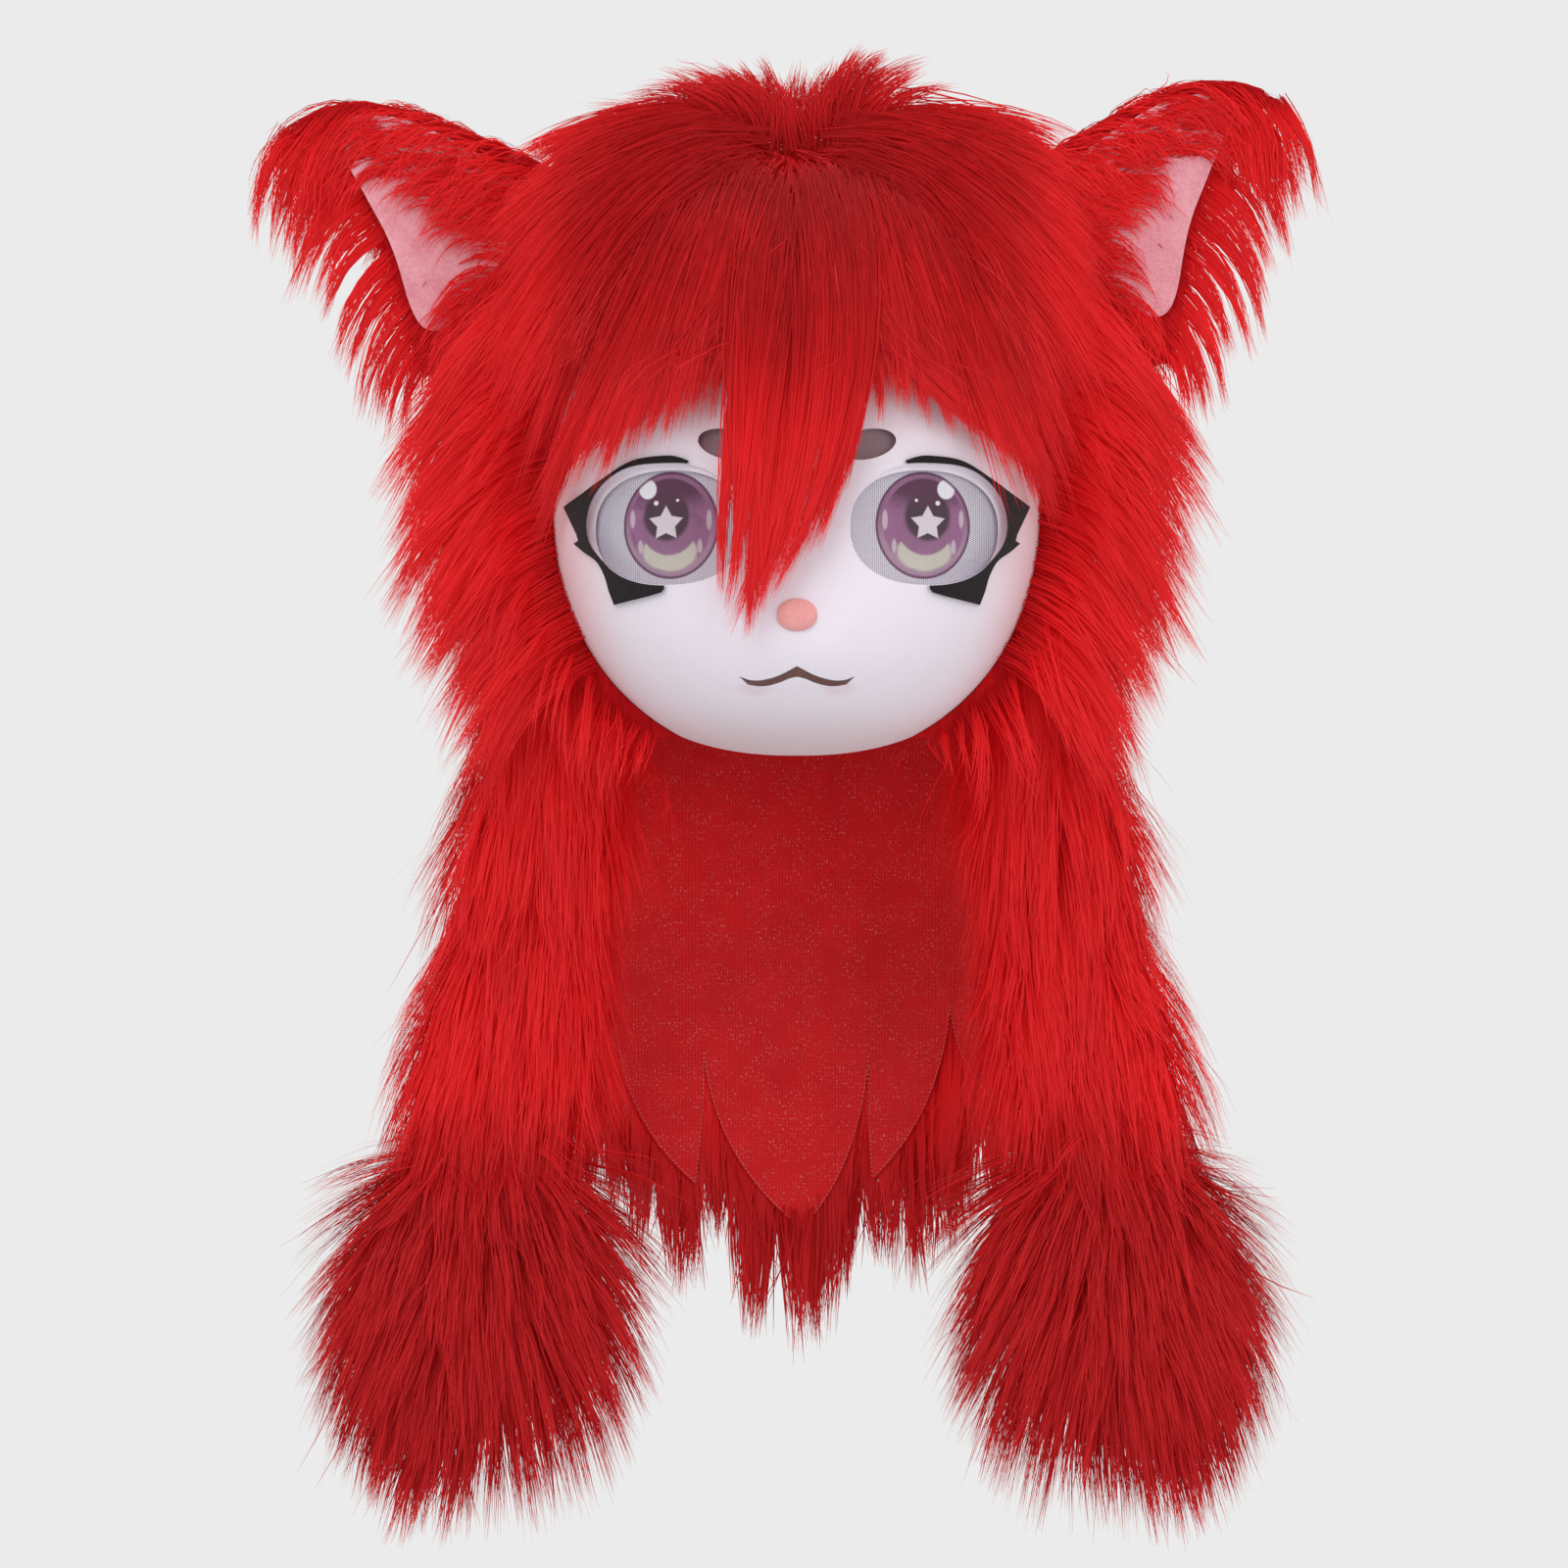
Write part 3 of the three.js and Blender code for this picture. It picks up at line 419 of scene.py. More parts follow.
@dataclass(frozen=True)
class UnderpileFinish:
    """The short dense pile below the long strands."""

    name: str = "red underpile"
    deep: Colour = srgb(152, 9, 15)
    open: Colour = srgb(188, 18, 24)

    def build(self) -> bpy.types.Material:
        """Makes the material."""
        graph = Graph(self.name)
        streak = graph.noise(graph.where((1.0, 1.0, 0.12)), 420.0, 4.0, 0.65)
        patch = graph.noise(graph.where(), 30.0, 3.0)
        blend = (streak * 0.7 + patch * 0.3).between(0.3, 0.72)
        colour = graph.mix(blend, self.deep, self.open)
        return graph.finish(
            # painted light: the underpile glows in its own colour to lift the shade between the strands
            Base_Color=colour,
            Emission_Color=colour,
            Emission_Strength=0.15,
            Normal=graph.bump(streak, 0.6, 0.002),
            Roughness=0.8,
            Specular_IOR_Level=0.08,
        )


@dataclass(frozen=True)
class MaskFinish:
    """White short-pile plush, with pink light from the red fur painted towards the sides, and painted shade
    under the hairline, on the chin and in the mouth's corners.
    """

    name: str = "white short plush"
    middle: Colour = srgb(242, 234, 245)
    # pink painted light reflected from the red fur, used towards the sides and for the painted shade under
    # the hairline
    rim: Colour = srgb(238, 200, 206)
    # painted shade on the chin's underside
    chin: Colour = srgb(222, 205, 208)
    # painted shade in the mouth's corners
    blush: Colour = srgb(226, 178, 182)

    def build(self) -> bpy.types.Material:
        """Makes the material."""
        graph = Graph(self.name)
        x, _, z = graph.place()
        sides = x.size().between(82.0, 124.0)
        brow = z.between(150.0, 205.0)
        low = z.between(34.0, 2.0)
        # pink light reflected from the red fur, painted towards the sides
        colour = graph.mix(sides * 0.75, self.middle, self.rim)
        # painted shade under the hair's edge, in the same pink
        colour = graph.mix(brow * 0.7, colour, self.rim)
        # painted shade, stronger towards the bottom of the chin
        colour = graph.mix(low * 0.8, colour, self.chin)
        # painted shade in the mouth's corners
        corner_x = x.size() - 21.0
        corner_z = z - 38.0
        corner = (corner_x * corner_x / 120.0 + corner_z * corner_z / 26.0).between(1.0, 0.0)
        colour = graph.mix(corner * 0.3, colour, self.blush)
        pile = graph.noise(graph.where((1.0, 1.0, 0.6)), 900.0, 3.0, 0.6)
        cloud = graph.noise(graph.where(), 60.0, 4.0, 0.6)
        colour = graph.dim(colour, pile * 0.07 + cloud * 0.05 + 0.94)
        return graph.finish(
            Base_Color=colour,
            Normal=graph.bump(pile, 0.35, 0.0006),
            Roughness=0.92,
            Specular_IOR_Level=0.2,
            Sheen_Weight=0.25,
            Sheen_Roughness=0.6,
        )


@dataclass(frozen=True)
class PlushFinish:
    """Short plush or velour of one hue, with its pile lying in soft patches."""

    name: str
    light: Colour
    dark: Colour
    grain: float = 700.0
    patch: float = 45.0
    bump: float = 0.6
    stretch: Triple = (1.0, 1.0, 1.0)

    def build(self) -> bpy.types.Material:
        """Makes the material."""
        graph = Graph(self.name)
        pile = graph.noise(graph.where(self.stretch), self.grain, 4.0, 0.65)
        cloud = graph.noise(graph.where(), self.patch, 4.0, 0.6)
        blend = (pile * 0.5 + cloud * 0.5).between(0.32, 0.66)
        return graph.finish(
            Base_Color=graph.mix(blend, self.dark, self.light),
            Normal=graph.bump(pile, self.bump, 0.0008),
            Roughness=0.9,
            Specular_IOR_Level=0.2,
            Sheen_Weight=0.2,
            Sheen_Roughness=0.5,
        )


@dataclass(frozen=True)
class KnitFinish:
    """Rib-knit backing with pale stray fibres, laid out on the cloth's own map in millimetres."""

    name: str = "red rib knit"
    # the valley colour is painted shade in the rib grooves
    valley: Colour = srgb(200, 22, 29)
    ridge: Colour = srgb(236, 38, 44)
    fleck: Colour = srgb(255, 168, 158)
    rib: float = 1.7
    course: float = 2.1

    def build(self) -> bpy.types.Material:
        """Makes the material."""
        graph = Graph(self.name)
        cloth = graph.add("ShaderNodeUVMap", uv_map="cloth").outputs[0]
        split = graph.add("ShaderNodeSeparateXYZ")
        graph.feed(split.inputs[0], cloth)
        across, down = Wire(graph, split.outputs[0]), Wire(graph, split.outputs[1])
        wander = graph.noise(cloth, 0.35, 2.0)
        turn = math.tau / self.rib
        ribs = ((across + wander * 0.5) * turn).sine() * 0.5 + 0.5
        rows = (down * (math.tau / self.course) + (across * turn).sine() * 0.8).sine() * 0.5 + 0.5
        loops = ribs * 0.7 + rows * 0.3
        worn = graph.noise(cloth, 0.035, 4.0, 0.6)
        fibre = graph.noise(graph.mapped(cloth, (1.0, 0.6, 1.0)), 0.95, 2.0, 0.7)
        cluster = graph.noise(cloth, 0.08, 3.0, 0.6)
        stray = fibre.between(0.57, 0.68) * cluster.between(0.38, 0.6)
        # painted shade in the rib valleys, varied by random wear
        colour = graph.mix(loops * 0.75 + (worn - 0.5) * 0.9, self.valley, self.ridge)
        colour = graph.mix(stray * 0.5, colour, self.fleck)
        # painted light that brightens the knit towards its top, where the chin shades it
        _, _, height = graph.place()
        colour = graph.dim(colour, 1.0 + height.between(-120.0, -40.0) * 0.35)
        return graph.finish(
            Base_Color=colour,
            Normal=graph.bump(loops + stray, 0.5, 0.0007),
            Roughness=0.88,
            Specular_IOR_Level=0.2,
            Sheen_Weight=0.25,
            Sheen_Roughness=0.5,
        )


@dataclass(frozen=True)
class MeshFinish:
    """Fine honeycomb screen cloth."""

    name: str
    thread: Colour
    # painted shade: the dark behind the screen, seen through its holes
    hole: Colour
    pitch: float = 1.9

    def weave(self, graph: Graph) -> Wire:
        """How much of a hole shows at a place, from 0 to 1."""
        x, _, z = graph.place()
        turn = math.tau / self.pitch
        a = (x * turn).sine()
        b = (x * (turn * 0.5) + z * (turn * 0.866)).sine()
        c = (x * (turn * 0.5) - z * (turn * 0.866)).sine()
        return (a * b * c).between(-0.12, 0.3)

    def build(self) -> bpy.types.Material:
        """Makes the material."""
        graph = Graph(self.name)
        hole = self.weave(graph)
        cloud = graph.noise(graph.where(), 120.0, 3.0)
        # the hole colour is painted shade seen through the holes
        colour = graph.mix(hole, self.thread, self.hole)
        return graph.finish(
            Base_Color=graph.dim(colour, cloud * 0.2 + 0.9),
            Normal=graph.bump(1.0 - hole, 0.5, 0.0004),
            Roughness=0.65,
            Specular_IOR_Level=0.3,
        )


@dataclass(frozen=True)
class EyeFinish(MeshFinish):
    """Screen cloth printed with a mauve iris, a starred pupil and soft lights, mirrored from eye to eye."""

    name: str = "printed eye mesh"
    thread: Colour = srgb(226, 220, 231)
    # painted shade: the dark behind the screen, seen through its holes
    hole: Colour = srgb(150, 142, 158)
    out: float = 63.0
    height: float = 119.2
    half_wide: float = 24.0
    half_tall: float = 26.8
    edge: Colour = srgb(98, 62, 86)
    band: Colour = srgb(176, 142, 166)
    plum: Colour = srgb(96, 58, 82)
    mauve: Colour = srgb(152, 106, 140)
    orchid: Colour = srgb(166, 108, 152)
    straw: Colour = srgb(212, 208, 194)
    pupil: Colour = srgb(76, 56, 66)
    star: Colour = srgb(226, 214, 222)
    gleam: Colour = srgb(246, 244, 250)
    glints: tuple[tuple[Pair, Pair, Pair], ...] = (
        ((-19.2, 2.5), (1.5, 5.5), (1.1, 0.7)),
        ((19.4, 3.5), (1.4, 5.0), (1.1, 0.7)),
        ((15.4, -10.5), (1.3, 3.6), (1.2, 0.7)),
        ((-14.6, -10.5), (1.3, 3.6), (1.2, 0.7)),
    )
    shines: tuple[tuple[Pair, Pair, Pair], ...] = (
        ((11.6, 18.2), (4.5, 5.0), (1.08, 0.86)),
        ((7.4, 11.2), (1.2, 1.2), (1.2, 0.7)),
        ((-3.4, 12.4), (0.8, 0.8), (1.3, 0.6)),
    )

    @staticmethod
    def oval(u: Wire, v: Wire, middle: Pair, half: Pair) -> Wire:
        """Distance from an oval's middle, in shares of its half sizes."""
        a = (u - middle[0]) / half[0]
        b = (v - middle[1]) / half[1]
        return (a * a + b * b).root()

    def lights(self, u: Wire, v: Wire, table: Sequence[tuple[Pair, Pair, Pair]]) -> Wire:
        """Mask of soft ovals, each given by its middle, its half sizes and the shares it fades between."""
        masks = [self.oval(u, v, middle, half).between(*fade) for middle, half, fade in table]
        return reduce(Wire.most, masks)

    def five_points(self, graph: Graph, u: Wire, v: Wire, middle: Pair, reach: float) -> Wire:
        """Mask of an upright five-pointed star."""
        a, b = u - middle[0], v - middle[1]
        angle = graph.math("ARCTAN2", a, b)
        fifth = math.tau / 5
        folded = (graph.math("FLOORED_MODULO", angle + fifth / 2, fifth) - fifth / 2).size()
        far = (a * a + b * b).root()
        ahead = far * graph.math("COSINE", folded)
        beside = far * folded.sine()
        notch = reach * 0.53
        notch_ahead, notch_beside = notch * math.cos(fifth / 2), notch * math.sin(fifth / 2)
        edge = (ahead - reach) * notch_beside + beside * (reach - notch_ahead)
        return (edge / math.hypot(notch_beside, reach - notch_ahead)).between(0.35, -0.35)

    def build(self) -> bpy.types.Material:
        """Makes the material."""
        graph = Graph(self.name)
        x, _, z = graph.place()
        u, v = x.size() - self.out, z - self.height
        hole = self.weave(graph)
        whole = self.oval(u, v, (0, 0), (self.half_wide, self.half_tall))
        inner = self.oval(u, v, (0.4, 0.2), (self.half_wide - 3.6, self.half_tall - 3.6))
        colour = graph.ramp(
            (v + 26.0) / 52.0,
            [(0.0, self.straw), (0.2, self.band), (0.34, self.mauve), (0.62, self.mauve), (0.82, self.plum)],
        )
        beside = u.size().between(9.0, 19.0) * v.size().between(20.0, 6.0)
        colour = graph.mix(beside * 0.5, colour, self.orchid)
        blot = graph.noise(graph.where(), 180.0, 2.0)
        colour = graph.mix(blot.between(0.5, 0.62) * 0.25, colour, self.plum)
        cup = self.oval(u, v, (1.0, 4.0), (15.5, 19.0)).between(1.04, 0.94) * v.between(4.0, -4.0)
        colour = graph.mix(cup * 0.75, colour, self.mauve)
        pool = self.oval(u, v, (0.6, -13.0), (14.0, 9.5)).between(1.05, 0.9)
        pool = pool * self.oval(u, v, (1.0, 4.0), (15.5, 18.6)).between(0.98, 1.06)
        colour = graph.mix(pool * 0.85, colour, self.straw)
        pupil = self.oval(u, v, (2.2, 4.6), (11.8, 12.6)).between(1.08, 0.86)
        colour = graph.mix(pupil * 0.95, colour, self.pupil)
        crown = self.oval(u, v, (1.0, 17.0), (13.0, 9.0)).between(1.15, 0.6)
        colour = graph.mix(crown * 0.7, colour, self.plum)
        rim = inner.between(0.97, 1.03)
        colour = graph.mix(rim, colour, graph.mix(v.between(-14.0, 10.0), self.band, self.mauve))
        colour = graph.mix(self.lights(u, v, self.glints) * 0.6, colour, self.star)
        star = self.five_points(graph, u, v, (2.4, 0.9), 8.9)
        colour = graph.mix(star, colour, self.star)
        colour = graph.mix(self.lights(u, v, self.shines) * 0.95, colour, self.gleam)
        ring = whole.between(0.93, 0.965)
        colour = graph.mix(ring * 0.85, colour, self.edge)
        print_mask = whole.between(1.01, 0.985)
        # the hole colour is painted shade seen through the holes
        cloth = graph.mix(hole, self.thread, self.hole)
        colour = graph.mix(print_mask, cloth, colour)
        # painted shade darkening the print where the holes show
        colour = graph.dim(colour, 1.06 - hole * 0.36)
        return graph.finish(
            Base_Color=colour,
            Normal=graph.bump(1.0 - hole, 0.4, 0.0004),
            Roughness=0.6,
            Specular_IOR_Level=0.3,
        )


@dataclass(frozen=True)
class FeltFinish:
    """Dense black felt with a few lighter fibres."""

    name: str = "black felt"
    ground: Colour = srgb(26, 22, 24)
    fibre: Colour = srgb(70, 62, 66)

    def build(self) -> bpy.types.Material:
        """Makes the material."""
        graph = Graph(self.name)
        grain = graph.noise(graph.where((1.0, 1.0, 0.5)), 1100.0, 4.0, 0.7)
        return graph.finish(
            Base_Color=graph.mix(grain.between(0.55, 0.8), self.ground, self.fibre),
            Normal=graph.bump(grain, 0.6, 0.0005),
            Roughness=0.85,
            Specular_IOR_Level=0.25,
            Sheen_Weight=0.1,
        )


@dataclass
class HeadForm:
    """The head's smooth form and the coat that lies on it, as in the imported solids, in millimetres."""

    width: float = 254.0
    height: float = 308.0
    widest: float = 132.0
    face_depth: float = 130.0
    nape_depth: float = 145.0
    muzzle_out: float = 8.0
    muzzle_height: float = 52.0
    muzzle_spread: float = 40.0
    muzzle_rise: float = 30.0
    coat_depth: float = 20.0
    swell: float = 26.0
    swell_height: float = 138.0
    swell_rise: float = 78.0
    nape_swell: float = 0.5

    def section(self, height: Array | float, grow: float) -> tuple[Array, Array, Array]:
        """Half width, front depth and rear depth of the form at a height."""
        height = np.asarray(height, float)
        low = height < self.widest
        reach = np.where(low, self.widest, self.height - self.widest) + grow
        rise = np.minimum(1.0, np.abs(height - self.widest) / reach)
        chin = np.where(low, 3.0, 2.3)
        side = (self.width / 2 + grow) * (1 - rise**2.1) ** (1 / 2.1)
        front = (self.face_depth + grow) * (1 - rise**chin) ** (1 / chin)
        back = (self.nape_depth + grow) * (1 - rise**2.2) ** (1 / 2.2)
        return side, front, back

    def muzzle(self, x: Array, height: Array, front: Array) -> Array:
        """How far the muzzle stands out."""
        spread = (x / self.muzzle_spread) ** 2 + ((height - self.muzzle_height) / self.muzzle_rise) ** 2
        return self.muzzle_out * np.exp(-spread) * front / self.face_depth

    def point(self, turn: Array, height: Array, grow: float) -> Array:
        """Points of the form at a turn from straight ahead and a height."""
        turn = np.asarray(turn, float)
        side, front, back = self.section(height, grow)
        ahead = np.cos(turn) > 0
        power = np.where(ahead, 0.8, 1.0)
        x = side * signed_power(np.sin(turn), power)
        reach = np.where(ahead, front, back) * signed_power(np.cos(turn), power)
        y = -reach - np.where(ahead, self.muzzle(x, height, front), 0.0)
        return np.stack(np.broadcast_arrays(x, y, np.asarray(height, float)), axis=-1)

    def face_y(self, x: Array, height: Array, grow: float | Array) -> Array:
        """Where the face is, ahead of a place in its front view."""
        side, front, _ = self.section(height, grow)
        share = np.minimum(0.97, np.abs(x) / np.maximum(side, 1.0))
        return -front * (1 - share**2.5) ** 0.4 - self.muzzle(x, height, front)

    def coat_point(self, turn: Array, height: Array, grow: float, swollen: float = 1.0) -> Array:
        """Points of the coat: the form grown, and swelling at the sides and less at the rear."""
        ahead = np.maximum(0.0, -np.cos(turn))
        swell = self.swell * swollen * (np.sin(turn) ** 2 + self.nape_swell * ahead**2)
        swell = swell * np.exp(-(((height - self.swell_height) / self.swell_rise) ** 2))
        out = np.stack(np.broadcast_arrays(swell * np.sin(turn), -swell * np.cos(turn), 0.0 * swell), axis=-1)
        return self.point(turn, height, self.coat_depth + grow) + out

    def block(
        self,
        grow: float,
        sides: int = 240,
        rings: int = 150,
        point: Callable[[Array, Array], Array] | None = None,
    ) -> bpy.types.Object:
        """A closed block of the form.

        Args:
            grow: how far the form is grown, in millimetres.
            sides: points of each ring.
            rings: rings from bottom to top.
            point: another rule for the points, or the form's own.

        Returns:
            The block.
        """
        shown = point or (lambda turn, height: self.point(turn, height, grow))
        share = np.arange(1, rings) / rings
        rise = np.sin((share - 0.5) * math.pi)
        reach = np.where(rise < 0, self.widest, self.height - self.widest) + grow
        turn = np.linspace(0, math.tau, sides, endpoint=False)
        ends = [-grow, self.height + grow]
        lines = [shown(turn, np.full(sides, height)) for height in self.widest + rise * reach]
        return loft("block", lines, [np.array([0.0, 0.0, end]) for end in ends])


def linked(name: str, data: bpy.types.ID) -> bpy.types.Object:
    """A new object of a mesh, camera or light, put into the scene."""
    thing = bpy.data.objects.new(name, data)
    bpy.context.scene.collection.objects.link(thing)
    return thing


def turn_outwards(body: bmesh.types.BMesh) -> None:
    """Flips all faces of a closed body that came out inside out."""
    if body.calc_volume(signed=True) < 0:
        bmesh.ops.reverse_faces(body, faces=body.faces)


def skin(name: str, points: Array, faces: Sequence[Sequence[int]]) -> bpy.types.Object:
    """Makes a mesh object whose faces point outwards.

    Args:
        name: the object's name.
        points: its points.
        faces: its faces, as point numbers.

    Returns:
        The object, linked to the scene.
    """
    mesh = bpy.data.meshes.new(name)
    mesh.from_pydata([tuple(point) for point in points], [], [tuple(face) for face in faces])
    body = bmesh.new()
    body.from_mesh(mesh)
    bmesh.ops.recalc_face_normals(body, faces=body.faces)
    turn_outwards(body)
    body.to_mesh(mesh)
    body.free()
    return linked(name, mesh)


def loft(name: str, rings: Sequence[Array], ends: Sequence[Array] | None = None) -> bpy.types.Object:
    """A closed skin through rings, drawn to a point at each end.

    Args:
        name: the object's name.
        rings: rings of the same number of points.
        ends: the two end points, or None for the middles of the end rings.

    Returns:
        The object.
    """
    sides = len(rings[0])
    if ends is None:
        ends = [rings[0].mean(axis=0), rings[-1].mean(axis=0)]
    points = np.vstack([*rings, ends[0], ends[1]])
    first, last = len(points) - 2, len(points) - 1
    faces = []
    for ring in range(len(rings) - 1):
        for i in range(sides):
            a, b = ring * sides + i, ring * sides + (i + 1) % sides
            faces.append((a, b, b + sides, a + sides))
    top = (len(rings) - 1) * sides
    for i in range(sides):
        faces.append((first, (i + 1) % sides, i))
        faces.append((last, top + i, top + (i + 1) % sides))
    return skin(name, points, faces)


def box(low: Sequence[float], high: Sequence[float]) -> bpy.types.Object:
    """A box between two corners."""
    x, y, z = zip(low, high)
    points = np.array([(x[i & 1], y[i >> 1 & 1], z[i >> 2 & 1]) for i in range(8)], float)
    faces = [(0, 1, 3, 2), (4, 5, 7, 6), (0, 1, 5, 4), (2, 3, 7, 6), (0, 2, 6, 4), (1, 3, 7, 5)]
    return skin("box", points, faces)


def below_neck() -> bpy.types.Object:
    """Everything under the sloping neck opening."""
    tool = box((-FAR, -FAR, -FAR), (FAR, FAR, 0.0))
    turned = []
    for vertex in tool.data.vertices:
        x, y, z = vertex.co
        turned.append(
            (
                x,
                y * math.cos(NECK_TILT) - z * math.sin(NECK_TILT) - NECK_FRONT,
                y * math.sin(NECK_TILT) + z * math.cos(NECK_TILT) + NECK_FRONT_HEIGHT,
            )
        )
    for vertex, place in zip(tool.data.vertices, turned):
        vertex.co = place
    return tool


def neck_height(y: Array | float) -> Array | float:
    """Height of the neck opening at a depth."""
    return NECK_FRONT_HEIGHT + (y + NECK_FRONT) * math.tan(NECK_TILT)


def prism(outline: Array | Outline, front: float = -FAR, back: float = -FACE_EDGE) -> bpy.types.Object:
    """Pushes an outline in the front view through the face.

    Args:
        outline: its points, as x and height.
        front: the near end's y.
        back: the far end's y.

    Returns:
        The closed prism.
    """
    count = len(outline)
    body = bmesh.new()
    near = [body.verts.new((x, front, z)) for x, z in outline]
    far = [body.verts.new((x, back, z)) for x, z in outline]
    for i in range(count):
        j = (i + 1) % count
        body.faces.new((near[i], near[j], far[j], far[i]))
    caps = [body.faces.new(near), body.faces.new(list(reversed(far)))]
    bmesh.ops.triangulate(body, faces=caps, ngon_method="EAR_CLIP")
    bmesh.ops.recalc_face_normals(body, faces=body.faces)
    turn_outwards(body)
    mesh = bpy.data.meshes.new("prism")
    body.to_mesh(mesh)
    body.free()
    return linked("prism", mesh)


def remove(thing: bpy.types.Object) -> None:
    """Deletes an object and its mesh."""
    mesh = thing.data
    bpy.data.objects.remove(thing)
    bpy.data.meshes.remove(mesh)


def settle(thing: bpy.types.Object) -> bpy.types.Object:
    """Turns an object's live modifiers into its mesh."""
    graph = bpy.context.evaluated_depsgraph_get()
    made = bpy.data.meshes.new_from_object(thing.evaluated_get(graph))
    old = thing.data
    thing.modifiers.clear()
    thing.data = made
    bpy.data.meshes.remove(old)
    return thing


def shape(body: bpy.types.Object, cut: Cut, *tools: bpy.types.Object) -> bpy.types.Object:
    """Cuts tools from a body or keeps what lies in them. The tools are used up.

    Args:
        body: the object worked on.
        cut: what the tools do.
        tools: closed objects.

    Returns:
        The body.
    """
    for tool in tools:
        step = body.modifiers.new("step", "BOOLEAN")
        step.operation = cut.value
        step.solver = "MANIFOLD"
        step.object = tool
        settle(body)
        remove(tool)
    return body


def smooth(thing: bpy.types.Object, angle: float = 32.0) -> bpy.types.Object:
    """Shades smooth, with edges sharper than an angle kept."""
    thing.data.shade_smooth()
    thing.data.set_sharp_from_angle(angle=math.radians(angle))
    return thing


def run_tree(thing: bpy.types.Object, tree: bpy.types.NodeTree, **inputs: object) -> None:
    """Runs a node tree on an object with its named inputs, and keeps what it makes."""
    step = thing.modifiers.new(tree.name, "NODES")
    step.node_group = tree
    sockets = {item.name: item.identifier for item in tree.interface.items_tree if item.in_out == "INPUT"}
    for key, value in inputs.items():
        step[sockets[key]] = value
    settle(thing)


def to_frame(thing: bpy.types.Object, name: str) -> bpy.types.Object:
    """Puts a mesh made in the head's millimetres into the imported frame, under a name."""
    count = len(thing.data.vertices)
    place = np.empty(count * 3)
    thing.data.vertices.foreach_get("co", place)
    place = (place.reshape(-1, 3) - (0.0, 0.0, FORM_DROP)) / METRE
    thing.data.vertices.foreach_set("co", place.ravel())
    thing.data.update()
    thing.name = name
    thing.data.name = name
    return thing


def dress(
    thing: bpy.types.Object,
    material: bpy.types.Material,
    stands_for: Sequence[str] = (),
) -> bpy.types.Object:
    """Gives a finished piece its material, slot and body, and hides the imported parts that it stands for."""
    thing.data.materials.clear()
    thing.data.materials.append(material)
    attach(thing, "root")
    if stands_for:
        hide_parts(*stands_for)
    thing.data.calc_loop_triangles()
    LOG.info("%s: %d triangles", thing.name, len(thing.data.loop_triangles))
    return thing


class Backing:
    """A closed form in millimetres that carries strands and keeps them outside it."""

    def __init__(self, thing: bpy.types.Object) -> None:
        """Reads the triangles of an object."""
        mesh = thing.data
        mesh.calc_loop_triangles()
        self.points = np.empty(len(mesh.vertices) * 3)
        mesh.vertices.foreach_get("co", self.points)
        self.points = self.points.reshape(-1, 3)
        self.triangles = np.empty(len(mesh.loop_triangles) * 3, dtype=np.int32)
        mesh.loop_triangles.foreach_get("vertices", self.triangles)
        self.triangles = self.triangles.reshape(-1, 3)
        self.normals = np.empty(len(mesh.vertices) * 3)
        mesh.vertices.foreach_get("normal", self.normals)
        self.normals = self.normals.reshape(-1, 3)
        self.tree = BVHTree.FromPolygons(self.points.tolist(), self.triangles.tolist())

    def scatter(self, count: int, rng: np.random.Generator) -> tuple[Array, Array]:
        """Places spread evenly over the form.

        Args:
            count: how many.
            rng: the seeded source of chance.

        Returns:
            The places and their outward directions.
        """
        a, b, c = (self.points[self.triangles[:, i]] for i in range(3))
        area = np.linalg.norm(np.cross(b - a, c - a), axis=1)
        chosen = rng.choice(len(area), count, p=area / area.sum())
        first, second = rng.random(count), rng.random(count)
        over = first + second > 1
        first[over], second[over] = 1 - first[over], 1 - second[over]
        weight = np.stack([1 - first - second, first, second], axis=1)[:, :, None]
        place = (self.points[self.triangles[chosen]] * weight).sum(axis=1)
        outward = unit((self.normals[self.triangles[chosen]] * weight).sum(axis=1))
        return place, outward

    def keep_out(self, points: Array, gap: Array) -> Array:
        """Moves points that come closer than a gap outwards."""
        moved = points.copy()
        for index, point in enumerate(points):
            near, normal, _, _ = self.tree.find_nearest(point)
            if near is None:
                continue
            height = (Vector(point) - near).dot(normal)
            if abs(height) < 40 and height < gap[index]:
                moved[index] += np.array(normal) * (gap[index] - height)
        return moved


@dataclass
class Roots:
    """Where strands start: place, outward direction, combing direction, length and lift in degrees."""

    place: Array
    outward: Array
    comb: Array
    length: Array
    lift: Array

    def kept(self, wanted: Array) -> "Roots":
        """The roots that a mask keeps."""
        return Roots(*(part[wanted] for part in vars(self).values()))


def roots_on(
    backing: Backing,
    count: int,
    rng: np.random.Generator,
    comb: Callable[[Array, Array], Array],
    length: Callable[[Array, Array], Array],
    lift: Callable[[Array, Array], Array],
    wanted: Callable[[Array, Array], Array] | None = None,
) -> Roots:
    """Spreads roots over a backing.

    Args:
        backing: the form.
        count: how many to spread, before any are dropped.
        rng: the seeded source of chance.
        comb, length, lift: rules from places and outward directions.
        wanted: a rule that keeps roots, or None for all.

    Returns:
        The roots.
    """
    place, outward = backing.scatter(count, rng)
    if wanted is not None:
        mask = wanted(place, outward)
        place, outward = place[mask], outward[mask]
    way = comb(place, outward)
    way = unit(way - (way * outward).sum(axis=1, keepdims=True) * outward)
    return Roots(place, outward, way, length(place, outward), lift(place, outward))


